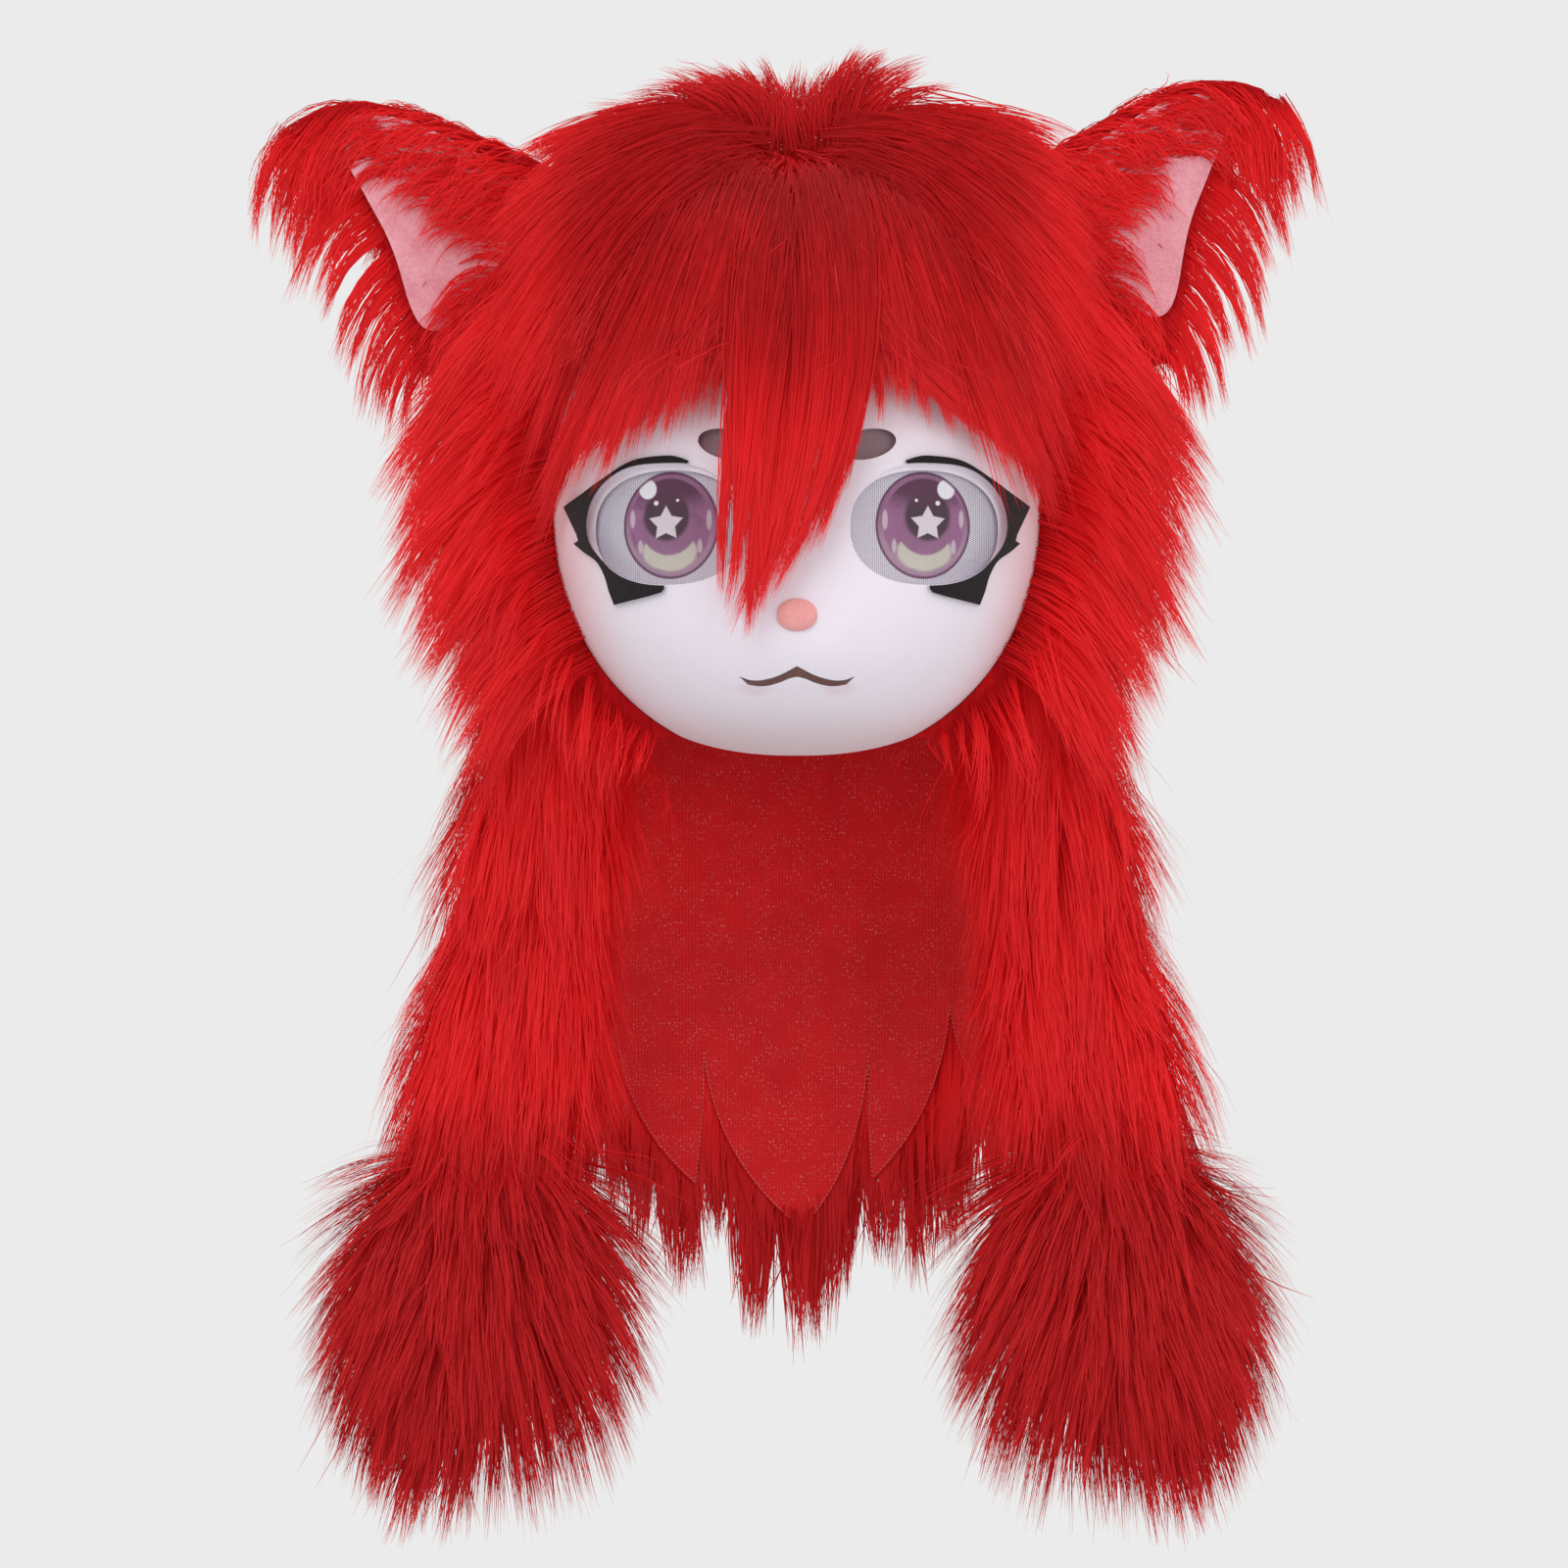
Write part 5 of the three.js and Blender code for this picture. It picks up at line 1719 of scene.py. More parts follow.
    def build(self, salon: Salon) -> None:
        """Makes the underpile and its pieces of strands."""
        rng = np.random.default_rng(self.seed)
        base = self.base()
        backing = Backing(base)

        def wanted(place: Array, outward: Array) -> Array:
            """The coat's own rule."""
            return self.wanted(place, outward, rng)

        roots = roots_on(backing, self.count, rng, self.comb, self.length, self.lift, wanted)
        ring = roots_on(backing, self.rim_count, rng, self.comb, self.length, self.lift, self.rim)
        roots = Roots(*(np.concatenate([getattr(roots, key), getattr(ring, key)]) for key in vars(roots)))
        strands = Groom(droop=0.42).grow(roots, backing, rng)
        LOG.info("hood strands: %d", len(strands.path))
        dress(to_frame(smooth(base), "hood_underpile"), salon.under, ["hood_fur"])
        x, y, z = roots.place.T
        rear = y > 45
        top = ~rear & (z > 228)
        for word, chosen in (
            ("rear", rear),
            ("crown", top),
            ("left", ~rear & ~top & (x < 0)),
            ("right", ~rear & ~top & (x >= 0)),
        ):
            salon.strands(f"hood_pile_{word}", strands.part(chosen))
        self.sides(salon, rng)

    def sides(self, salon: Salon, rng: np.random.Generator) -> None:
        """Makes the locks that sweep outwards and down beside the face."""
        for side in Side:
            turned = (side.value, 1, 1)
            made = []
            for depth, ahead, wisps, count, turn in self.layers:
                rows = []
                for root, bend, tip in self.sweep:
                    tip = tuple(a + (b - a) * self.reach for a, b in zip(root, tip))
                    near, far = (root[0], depth, root[1]), (tip[0], depth - ahead, tip[1])
                    rows.append(arc(near, (bend[0], depth - ahead * 0.8, bend[1]), far))
                facing = (side.value * math.sin(turn), -math.cos(turn), 0.0)
                guides = np.array(rows) * turned
                fan = Fan(
                    guides,
                    wisps,
                    count,
                    spread=11.0,
                    depth=16.0,
                    ragged=0.12,
                    root_spread=0.12,
                    drift=7.0,
                    pointed=0.72,
                    girth=0.95,
                    facing=facing,
                )
                made.append(fan.grow(5, rng))
            salon.strands(f"hood_locks_{side.word}", together(made))


def arc(start: Sequence[float], bend: Sequence[float], tip: Sequence[float], count: int = 12) -> Array:
    """A line that leaves a start towards a bend and ends in a tip."""
    share = np.linspace(0, 1, count)[:, None]
    a, b, c = (np.asarray(place, float) for place in (start, bend, tip))
    return a * (1 - share) ** 2 + 2 * b * share * (1 - share) + c * share**2


@dataclass
class Fan:
    """Wisps laid side by side between guide lines, each gathered to a point."""

    guides: Array
    wisps: int
    count: int
    spread: float = 9.0
    depth: float = 9.0
    ragged: float = 0.08
    root_spread: float = 0.1
    drift: float = 4.0
    pointed: float = 0.85
    girth: float = 1.0
    facing: Triple = (0.0, -1.0, 0.0)

    def grow(self, steps: int, rng: np.random.Generator) -> Strands:
        """Fills the fan with strands.

        Args:
            steps: steps of each strand.
            rng: the seeded source of chance.

        Returns:
            The strands.
        """
        share = np.linspace(0, 1, steps + 1)[None, :]
        facing = np.array(self.facing)
        spot = (rng.permutation(self.wisps) + rng.random(self.wisps)) / self.wisps * (len(self.guides) - 1)
        low = np.minimum(spot.astype(int), len(self.guides) - 2)
        rest = (spot - low)[:, None, None]
        lines = self.guides[low] * (1 - rest) + self.guides[low + 1] * rest
        fine = np.linspace(0, 1, lines.shape[1])[None, :, None]
        across = unit(np.cross(unit(np.gradient(lines, axis=1)), facing))
        lines = lines + across * rng.normal(0, self.drift, (self.wisps, 1, 1)) * fine**2
        phase = rng.uniform(0, math.tau, (self.wisps, 1, 1))
        swing = rng.normal(0, 0.4 * self.drift, (self.wisps, 1, 1))
        lines = lines + across * swing * np.sin(fine * math.pi * 1.6 + phase) * fine
        of_wisp = rng.integers(0, self.wisps, self.count)
        end = np.clip(1 - np.abs(rng.normal(0, self.ragged, self.wisps)), 0.5, 1.0)[of_wisp]
        start = (0.3 * rng.random(self.wisps)[of_wisp] + 0.7 * rng.random(self.count)) * self.root_spread
        end = end * rng.uniform(0.84, 1.03, self.count)
        at = start[:, None] + (end - start)[:, None] * share
        middle = Groom.along(lines[of_wisp], at)
        tangent = unit(np.gradient(middle, axis=1))
        across = unit(np.cross(tangent, facing))
        through = unit(np.cross(across, tangent))
        gather = 1 - self.pointed * share**0.9
        side = rng.normal(0, self.spread / 2, self.count)[:, None] * gather
        layer = (rng.random(self.wisps)[of_wisp] * self.depth)[:, None] * (1 - 0.5 * share)
        deep = layer + rng.normal(0, 1.6, self.count)[:, None] * gather
        path = middle + across * side[..., None] + through * deep[..., None]
        path = path + rng.normal(0, 1.4, (self.count, 1, 3)) * share[..., None] ** 2
        tone = 0.7 * rng.random(self.wisps)[of_wisp] + 0.3 * rng.random(self.count)
        thick = Groom.taper(share) * (self.girth * rng.uniform(0.6, 1.25, self.count))[:, None]
        outward = unit(facing + rng.normal(0, Groom.roll, (self.count, 3)))
        return Strands(path, outward, tone, thick)


def together(parts: Sequence[Strands]) -> Strands:
    """All strands of several groups."""
    whole = parts[0]
    for part in parts[1:]:
        whole = whole.joined(part)
    return whole


@dataclass
class Fringe:
    """The bangs: wisps that fan out from the whorl and fall over the forehead."""

    form: HeadForm
    seed: int = 23
    table: Array = field(
        default_factory=lambda: np.array(
            [
                (-40, 297, -140, 114, 0),
                (-36, 299, -128, 133, 0),
                (-31, 300, -110, 143, 0),
                (-26, 301, -88, 151, 0),
                (-21, 302, -66, 161, 0),
                (-17, 302, -49, 173, 0),
                (-13, 302, -31, 112, -9),
                (-10, 302, -29, 74, -5),
                (-7, 302, -31, 54, 2),
                (-3, 302, -29, 58, 9),
                (2, 302, -27, 64, 18),
                (6, 302, -22, 74, 24),
                (10, 302, -14, 88, 26),
                (14, 302, -2, 106, 24),
                (18, 302, 12, 128, 18),
                (22, 302, 28, 152, 10),
                (26, 301, 44, 176, 4),
                (31, 300, 80, 166, 0),
                (36, 299, 103, 154, 0),
                (41, 298, 122, 139, 0),
                (46, 297, 136, 119, 0),
            ],
            float,
        )
    )
    parts: dict[str, tuple[int, int, int, int]] = field(
        default_factory=lambda: {
            "left": (0, 6, 90, 3000),
            "center": (6, 17, 30, 2800),
            "right": (16, 21, 90, 2900),
        }
    )

    def line(
        self, root: float, top: float, tip: float, low: float, bulge: float = 0.0, curl: float = 0.85
    ) -> Array:
        """One guide line over the forehead."""
        share = np.linspace(0, 1, 14)
        height = top + (low - top) * share
        limit = self.form.section(height, 22.0)[0]
        x = np.clip(root + (tip - root) * share**curl + bulge * 4 * share * (1 - share), -limit, limit)
        stand = 15.0 + 11.0 * ease(share, 0, 0.3) - 13.0 * ease(share, 0.35, 1)
        y = [
            float(self.form.face_y(np.array(a), np.array(b), float(c)))
            for a, b, c in zip(x, height, stand)
        ]
        return np.stack([x, np.array(y), height], axis=1)

    def build(self, salon: Salon) -> None:
        """Makes one piece of strands for each part."""
        rng = np.random.default_rng(self.seed)
        lines = np.array([self.line(*row) for row in self.table])
        for word, (first, last, wisps, count) in self.parts.items():
            fan = Fan(
                lines[first:last],
                wisps,
                count,
                spread=9.0,
                depth=9.0,
                ragged=0.075,
                root_spread=0.4,
                drift=5.0,
                pointed=0.92,
                girth=0.86,
            )
            made = [fan.grow(6, rng)]
            if word != "center":
                way = -1 if word == "left" else 1
                ends = [(9, 302, 104, 155, 2.4), (14, 302, 128, 147, 2.2), (20, 301, 134, 135, 2.0)]
                edge = [
                    self.line(way * root, top, way * tip, low, curl=curl)
                    for root, top, tip, low, curl in ends
                ]
                fan = Fan(
                    np.array(edge),
                    wisps=12,
                    count=420,
                    spread=6.0,
                    depth=5.0,
                    ragged=0.06,
                    root_spread=0.4,
                    drift=3.0,
                    pointed=0.88,
                    girth=0.8,
                )
                made.append(fan.grow(6, rng))
            if word == "right":
                loose = np.array([self.line(44, 290, 104, 124), self.line(46, 288, 113, 112)])
                fan = Fan(
                    loose,
                    wisps=4,
                    count=46,
                    spread=5.0,
                    depth=4.0,
                    ragged=0.1,
                    root_spread=0.4,
                    drift=4.0,
                    pointed=0.8,
                    girth=0.7,
                )
                made.append(fan.grow(6, rng))
            piece = salon.strands(f"fringe_pile_{word}", together(made))
            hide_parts(f"fringe_{word}")


@dataclass
class Crown:
    """Hair swept from the whorl to both ears, and the loose tuft that stands up behind it."""

    seed: int = 31
    sweep: list[tuple[tuple[float, ...], tuple[float, ...], tuple[float, ...]]] = field(
        default_factory=lambda: [
            ((26, -88, 301), (92, -130, 266), (138, -62, 126)),
            ((20, -84, 304), (100, -118, 288), (154, -54, 158)),
            ((14, -76, 308), (104, -92, 310), (162, -46, 194)),
            ((9, -66, 312), (102, -70, 330), (164, -40, 230)),
            ((5, -50, 316), (98, -50, 343), (158, -32, 268)),
            ((5, -30, 318), (94, -28, 350), (148, -20, 304)),
            ((5, -6, 319), (88, -6, 350), (140, 0, 312)),
            ((5, 20, 318), (80, 20, 344), (132, 26, 304)),
        ]
    )
    tuft: list[tuple[tuple[float, ...], tuple[float, ...], tuple[float, ...]]] = field(
        default_factory=lambda: [
            ((-18, -14, 308), (-62, -14, 346), (-118, -20, 320)),
            ((-15, -20, 309), (-54, -20, 357), (-104, -26, 338)),
            ((-12, -24, 310), (-42, -24, 362), (-82, -32, 352)),
            ((-9, -26, 308), (-28, -26, 362), (-56, -34, 361)),
            ((-6, -30, 306), (-14, -30, 354), (-30, -40, 360)),
            ((0, -32, 304), (-2, -34, 340), (-8, -46, 353)),
            ((6, -30, 306), (10, -30, 350), (18, -40, 362)),
            ((12, -24, 310), (24, -24, 360), (42, -32, 367)),
            ((16, -20, 309), (40, -20, 362), (68, -28, 364)),
            ((20, -16, 308), (54, -16, 350), (96, -22, 338)),
        ]
    )

    def build(self, salon: Salon) -> None:
        """Makes the swept hair and the tuft."""
        rng = np.random.default_rng(self.seed)
        for side in Side:
            turned = (side.value, 1, 1)
            lines = np.array([arc(*row) for row in self.sweep]) * turned
            fan = Fan(
                lines,
                wisps=120,
                count=3100,
                spread=11.0,
                depth=12.0,
                ragged=0.14,
                root_spread=0.5,
                drift=8.0,
                pointed=0.75,
                girth=0.95,
            )
            salon.strands(f"crown_sweep_{side.word}", fan.grow(5, rng))
        high = np.array([arc(*row) for row in self.tuft])
        fan = Fan(
            high,
            wisps=80,
            count=2100,
            spread=9.0,
            depth=18.0,
            ragged=0.24,
            root_spread=0.4,
            drift=7.0,
            pointed=0.75,
            girth=0.66,
        )
        piece = salon.strands("crown_tuft_pile", fan.grow(5, rng))
        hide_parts("crown_tuft")


@dataclass
class Ear:
    """A sideways cat ear: a cupped fur body, a pink plush lining and hanging tufts."""

    side: Side
    out: float
    height: float
    tilt: float
    seed: int
    count: int = 7200
    length: float = 118.0
    width: float = 115.0
    thick: float = 17.0
    cup: float = 15.0
    back: float = 6.0
    tuft: float = 66.0
    lining_share: float = 0.8
    root_drop: float = 0.42
    bare_upper: float = 0.02
    tufts: Array = field(
        default_factory=lambda: np.array(
            [
                (0.1, 0.28, 0.8, 0.9),
                (0.27, 0.42, 0.85, 0.9),
                (0.45, 0.55, 0.88, 0.85),
                (0.62, 0.55, 0.9, 0.85),
                (0.8, 0.42, 0.92, 0.8),
                (0.95, 0.3, 0.9, 0.7),
            ]
        )
    )
    sections: Array = field(
        default_factory=lambda: np.array(
            [
                (-0.5, 0.06, 0.42, 1, 0),
                (0, 0, 0.48, 1, 0),
                (0.22, 0.04, 0.41, 1, 0),
                (0.43, 0.09, 0.33, 0.95, 0.01),
                (0.64, 0.13, 0.235, 0.85, 0.04),
                (0.83, 0.14, 0.15, 0.75, 0.1),
                (0.97, 0.08, 0.08, 0.6, 0.17),
                (1.04, 0, 0.03, 0.4, 0.21),
            ]
        )
    )

    def axes(self) -> tuple[Array, Array]:
        """Directions along the ear and across it."""
        angle = math.radians(self.tilt)
        along = np.array([math.cos(angle), 0.0, math.sin(angle)])
        up = np.array([-math.sin(angle), 0.0, math.cos(angle)])
        return along, up

    def point(self, along: Array, across: Array, depth: Array) -> Array:
        """Points of the ear for the right side."""
        axis, up = self.axes()
        rise, half, _, forward = read_table(self.sections, along).T
        cup = self.cup * across**2 * half / 0.42
        across = across * np.where(across < 0, self.drop(along), 1.0)
        base = np.array([self.out, self.back, self.height])
        y = depth - cup - forward * self.length
        place = base + np.outer(along * self.length, axis) + np.outer((rise + half * across) * self.width, up)
        place[:, 1] += y
        return place

    def drop(self, along: Array) -> Array:
        """How much further the lower half reaches where the ear meets the hood."""
        return 1 + self.root_drop * ease(along, 0.5, -0.05)

    def body(
        self,
        share: float,
        thick: float,
        depth: float,
        low: float,
        high: float,
        rings: int,
    ) -> bpy.types.Object:
        """A closed cupped skin between two places along the ear."""
        sides = 48
        angle = np.linspace(0, math.tau, sides, endpoint=False)
        made = []
        for along in np.linspace(low, high, rings):
            plump = float(read_table(self.sections, along)[2])
            made.append(
                self.point(
                    np.full(sides, along),
                    np.cos(angle) * share,
                    depth + thick * plump / 2 * np.sin(angle),
                )
            )
        for ring in made:
            ring[:, 0] *= self.side.value
        return loft("ear", made)

    def local(self, place: Array) -> tuple[Array, Array]:
        """Place along the ear and across its half width."""
        axis, up = self.axes()
        rel = place * (self.side.value, 1, 1) - np.array([self.out, self.back, self.height])
        along = rel @ axis / self.length
        rise, half, _, _ = read_table(self.sections, along).T
        across = (rel @ up / self.width - rise) / half
        return along, across / np.where(across < 0, self.drop(along), 1.0)

    def comb(self, place: Array, outward: Array) -> Array:
        """Along the ear, turning down at its lower edge and tip."""
        axis, _ = self.axes()
        along, across = self.local(place)
        fall = 0.3 + 0.95 * ease(across, 0.1, -0.9) + 1.1 * ease(along, 0.62, 1.0)
        way = axis * (1 - 0.35 * ease(across, -0.2, -0.9))[:, None] + DOWN * fall[:, None]
        return way * (self.side.value, 1, 1)

    def build(self, salon: Salon, finishes: dict[str, bpy.types.Material]) -> None:
        """Makes the ear's underpile, strands, hanging locks and lining."""
        rng = np.random.default_rng(self.seed)
        base = self.body(0.95, self.thick * 0.72, 0.0, -0.36, 1.02, 40)
        backing = Backing(base)

        def wanted(place: Array, outward: Array) -> Array:
            """All but a bare band of the lining along the ear's lower edge."""
            along, across = self.local(place)
            front = outward[:, 1] < -0.2
            upper_limit = self.bare_upper - 0.75 * ease(along, 0.4, 0.8)
            bare = front & (along > 0.0) & (along < 0.86) & (across < upper_limit) & (across > -0.9)
            thin = front & (along > 0.0) & (along < 0.86) & (across < upper_limit + 0.25)
            edge = (across < -0.82) & (rng.random(len(place)) < 0.55)
            return (along > -0.34) & ~bare & ~edge & ((rng.random(len(place)) < 0.75) | ~thin)

        def length(place: Array, outward: Array) -> Array:
            """Longest at the tip, and shorter on the upper edge and inside."""
            along, across = self.local(place)
            inside = ease(-outward[:, 1], 0.1, 0.5)
            root = ease(along, 0.25, -0.1)
            short = 24 * ease(across, -0.35, -0.85) * (1 - ease(along, 0.75, 0.92))
            thin = 4 * inside * (1 - ease(along, 0.6, 0.9))
            return 36 + 20 * ease(along, 0.6, 0.95) - thin + 6 * root - short

        def lift(place: Array, outward: Array) -> Array:
            """Standing off a little more at the lower edge."""
            _, across = self.local(place)
            return 8 + 8 * ease(across, -0.3, -1.0)

        roots = roots_on(backing, self.count, rng, self.comb, length, lift, wanted)
        along, across = self.local(roots.place)
        cup = (roots.outward[:, 1] < -0.2) & (along > -0.06) & (along < 0.96) & (np.abs(across) < 0.84)
        roots.place = roots.place + (0, -3.6, 0) * cup[:, None]
        groom = Groom(
            steps=5,
            droop=0.7,
            lock_spacing=18,
            lock_pull=0.5,
            wisp_spacing=6,
            fluff=3.0,
            uneven=0.3,
            girth=0.85,
        )
        strands = groom.grow(roots, backing, rng)
        name = self.side.word
        dress(to_frame(smooth(base), f"ear_underpile_{name}"), salon.under, [f"ear_{name}"])
        salon.strands(f"ear_pile_{name}", strands.joined(self.hanging(rng)))
        lining = to_frame(smooth(self.lining(), 60.0), f"ear_plush_{name}")
        dress(lining, finishes["ear"], [f"ear_lining_{name}"])

    def hanging(self, rng: np.random.Generator) -> Strands:
        """Separate locks that leave the lower edge outwards and hang down."""
        made = []
        for along in np.linspace(0.02, 1.0, 12) + rng.uniform(-0.02, 0.02, 12):
            out, down, wide = read_table(self.tufts, along)
            reach = self.tuft * rng.uniform(0.88, 1.15)
            lines = []
            for step in (-0.5, 0.5):
                near = along + step * 11.0 * wide / self.length
                root = self.point(np.array([near]), np.array([-0.86]), np.array([2.0]))[0]
                start = self.point(np.array([near]), np.array([-0.5]), np.array([-2.0]))[0]
                tip = root + np.array([out, -0.1, -down]) * reach
                bend = root + np.array([0.75 * out, -0.12, -0.22 * down]) * reach
                lines.append(np.vstack([start, arc(root, bend, tip, 11)]))
            guides = np.array(lines) * (self.side.value, 1, 1)
            fan = Fan(
                guides,
                wisps=5,
                count=84,
                spread=4.0,
                depth=4.0,
                ragged=0.12,
                root_spread=0.04,
                drift=2.5,
                pointed=0.85,
                girth=0.72,
            )
            made.append(fan.grow(5, rng))
        return together(made)

    def lining(self) -> bpy.types.Object:
        """The pink plush with rounded ends, laid in the cup."""
        sides = 48
        angle = np.linspace(0, math.tau, sides, endpoint=False)
        made = []
        for share in 0.5 - 0.5 * np.cos(np.linspace(0.08, math.pi - 0.08, 34)):
            along = -0.04 + 0.9 * share
            narrow = self.lining_share * (1 - abs(2 * share - 1) ** 5) ** 0.5
            ring = self.point(
                np.full(sides, along),
                np.cos(angle) * narrow - 0.06,
                -self.thick * 0.36 - 1.7 + 1.1 * np.sin(angle),
            )
            ring[:, 0] *= self.side.value
            made.append(ring)
        return loft("lining", made)


@dataclass
class Flap:
    """One long side flap and the stuffed paw at its end."""

    side: Side
    seed: int
    flap_count: int = 9600
    paw_count: int = 9000
    top: float = 104.0
    length: float = 316.0
    out: float = 124.0
    splay: float = 36.0
    width: float = 86.0
    thick: float = 44.0
    back: float = 8.0
    paw_length: float = 176.0
    paw_width: float = 134.0
    paw_thick: float = 76.0
    paw_lap: float = 34.0
    paw_splay: float = 26.0
    flap_table: Array = field(
        default_factory=lambda: np.array(
            [
                (0, 0, 0.74, 0.7),
                (0.22, 0.08, 0.9, 1),
                (0.5, 0.34, 1, 1),
                (0.76, 0.7, 1.12, 1),
                (1, 1, 1.18, 0.9),
            ]
        )
    )
    paw_table: Array = field(
        default_factory=lambda: np.array(
            [(0, 0.5, 0.5), (0.2, 0.92, 0.9), (0.55, 1, 1), (0.82, 0.74, 0.8), (1, 0.3, 0.3)]
        )
    )

    def ring(self, middle: Array, width: float, thick: float, sides: int = 56) -> Array:
        """A level rounded ring."""
        angle = np.linspace(0, math.tau, sides, endpoint=False)
        x = middle[0] + width / 2 * signed_power(np.cos(angle), 0.85)
        y = middle[1] + thick / 2 * signed_power(np.sin(angle), 0.85)
        return np.stack([x * self.side.value, y, np.full(sides, middle[2])], axis=1)

    def flap_middle(self, down: float) -> Array:
        """Middle of the flap at a share of its length, for the right side."""
        out = float(read_table(self.flap_table, down)[0])
        return np.array([self.out + self.splay * out, self.back, self.top - self.length * down])

    def paw_middle(self, down: float) -> Array:
        """Middle of the paw at a share of its length, for the right side."""
        top = self.top - self.length + self.paw_lap
        x = self.out + self.splay + down * self.paw_splay
        return np.array([x, self.back, top - down * self.paw_length])

    def flap_base(self, inset: float) -> bpy.types.Object:
        """The flap's closed underpile."""
        rings = []
        for down in np.linspace(0.0, 0.97, 48):
            _, width, thick = read_table(self.flap_table, down)
            puff = 1 + 0.05 * math.sin(down * 19.0)
            rings.append(
                self.ring(
                    self.flap_middle(down),
                    self.width * width * puff - 2 * inset,
                    self.thick * thick * puff - 2 * inset * 0.8,
                )
            )
        return loft("flap", rings)

    def paw_base(self, inset: float) -> bpy.types.Object:
        """The paw's closed crowned underpile."""
        rings = []
        line = flowing(self.paw_table, 10)
        for down in 0.5 - 0.5 * np.cos(np.linspace(0.12, math.pi - 0.12, 40)):
            width, thick = read_table(line, down)
            rings.append(
                self.ring(
                    self.paw_middle(0.06 + down * 0.86),
                    max(12.0, self.paw_width * width - 2 * inset),
                    max(10.0, self.paw_thick * thick - 2 * inset),
                )
            )
        return loft("paw", rings)

    def build_flap(self, salon: Salon) -> None:
        """Makes the flap."""
        rng = np.random.default_rng(self.seed)
        base = self.flap_base(9.0)
        backing = Backing(base)

        def comb(place: Array, outward: Array) -> Array:
            """Down, with a lean outwards that grows towards the paw."""
            lean = 0.08 + 0.14 * ease(place[:, 2], 40, -200)
            side = np.zeros_like(place)
            side[:, 0] = self.side.value * lean
            return DOWN + side

        def length(place: Array, outward: Array) -> Array:
            """Even length."""
            return np.full(len(place), 70.0)

        def lift(place: Array, outward: Array) -> Array:
            """Tiers that stand off, one above another."""
            tier = (place[:, 2] % 62.0) / 62.0
            edge = 8 * np.abs(outward[:, 0])
            return 12 + 10 * tier + edge

        def wanted(place: Array, outward: Array) -> Array:
            """Clear of the ends."""
            return (place[:, 2] < 92) & (place[:, 2] > -218)

        roots = roots_on(backing, self.flap_count, rng, comb, length, lift, wanted)
        groom = Groom(droop=0.3, lock_spacing=28, lock_pull=0.45, fluff=5.0)
        strands = groom.grow(roots, backing, rng)
        name = self.side.word
        dress(to_frame(smooth(base), f"flap_underpile_{name}"), salon.under, [f"flap_{name}"])
        salon.strands(f"flap_pile_{name}", strands)

    def build_paw(self, salon: Salon) -> None:
        """Makes the paw."""
        rng = np.random.default_rng(self.seed + 1)
        base = self.paw_base(17.0)
        backing = Backing(base)
        heart = (self.paw_middle(0.0) + (0, 0, 50)) * (self.side.value, 1, 1)

        def comb(place: Array, outward: Array) -> Array:
            """Away from the paw's upper middle, and down."""
            away = unit((place - heart) * (1.6, 0.6, 1))
            high = ease(place[:, 2], -262, -212)
            lean = np.zeros_like(place)
            inner = ease(-place[:, 0] * self.side.value, -172, -132)
            lean[:, 0] = self.side.value * (0.16 * (1 - high) - 0.75 * inner)
            return away + DOWN * (0.2 + 0.6 * high)[:, None] + lean

        def length(place: Array, outward: Array) -> Array:
            """Longest at the sides and below."""
            down = ease(place[:, 2], -190, -330)
            inner = ease(-place[:, 0] * self.side.value, -168, -132)
            return 56 + 14 * down + 24 * inner

        def lift(place: Array, outward: Array) -> Array:
            """Standing well off."""
            return 20 + 16 * ease(np.abs(outward[:, 1]), 0.8, 0.3)

        roots = roots_on(backing, self.paw_count, rng, comb, length, lift)
        groom = Groom(droop=0.22, lock_spacing=24, lock_pull=0.28, fluff=5.0, strays=0.07, uneven=0.32)
        strands = groom.grow(roots, backing, rng)
        name = self.side.word
        base = dress(to_frame(smooth(base), f"paw_underpile_{name}"), salon.under, [f"paw_{name}"])
        salon.strands(f"paw_pile_{name}", strands)

    def build(self, salon: Salon) -> None:
        """Makes the flap and its paw."""
        self.build_flap(salon)
        self.build_paw(salon)


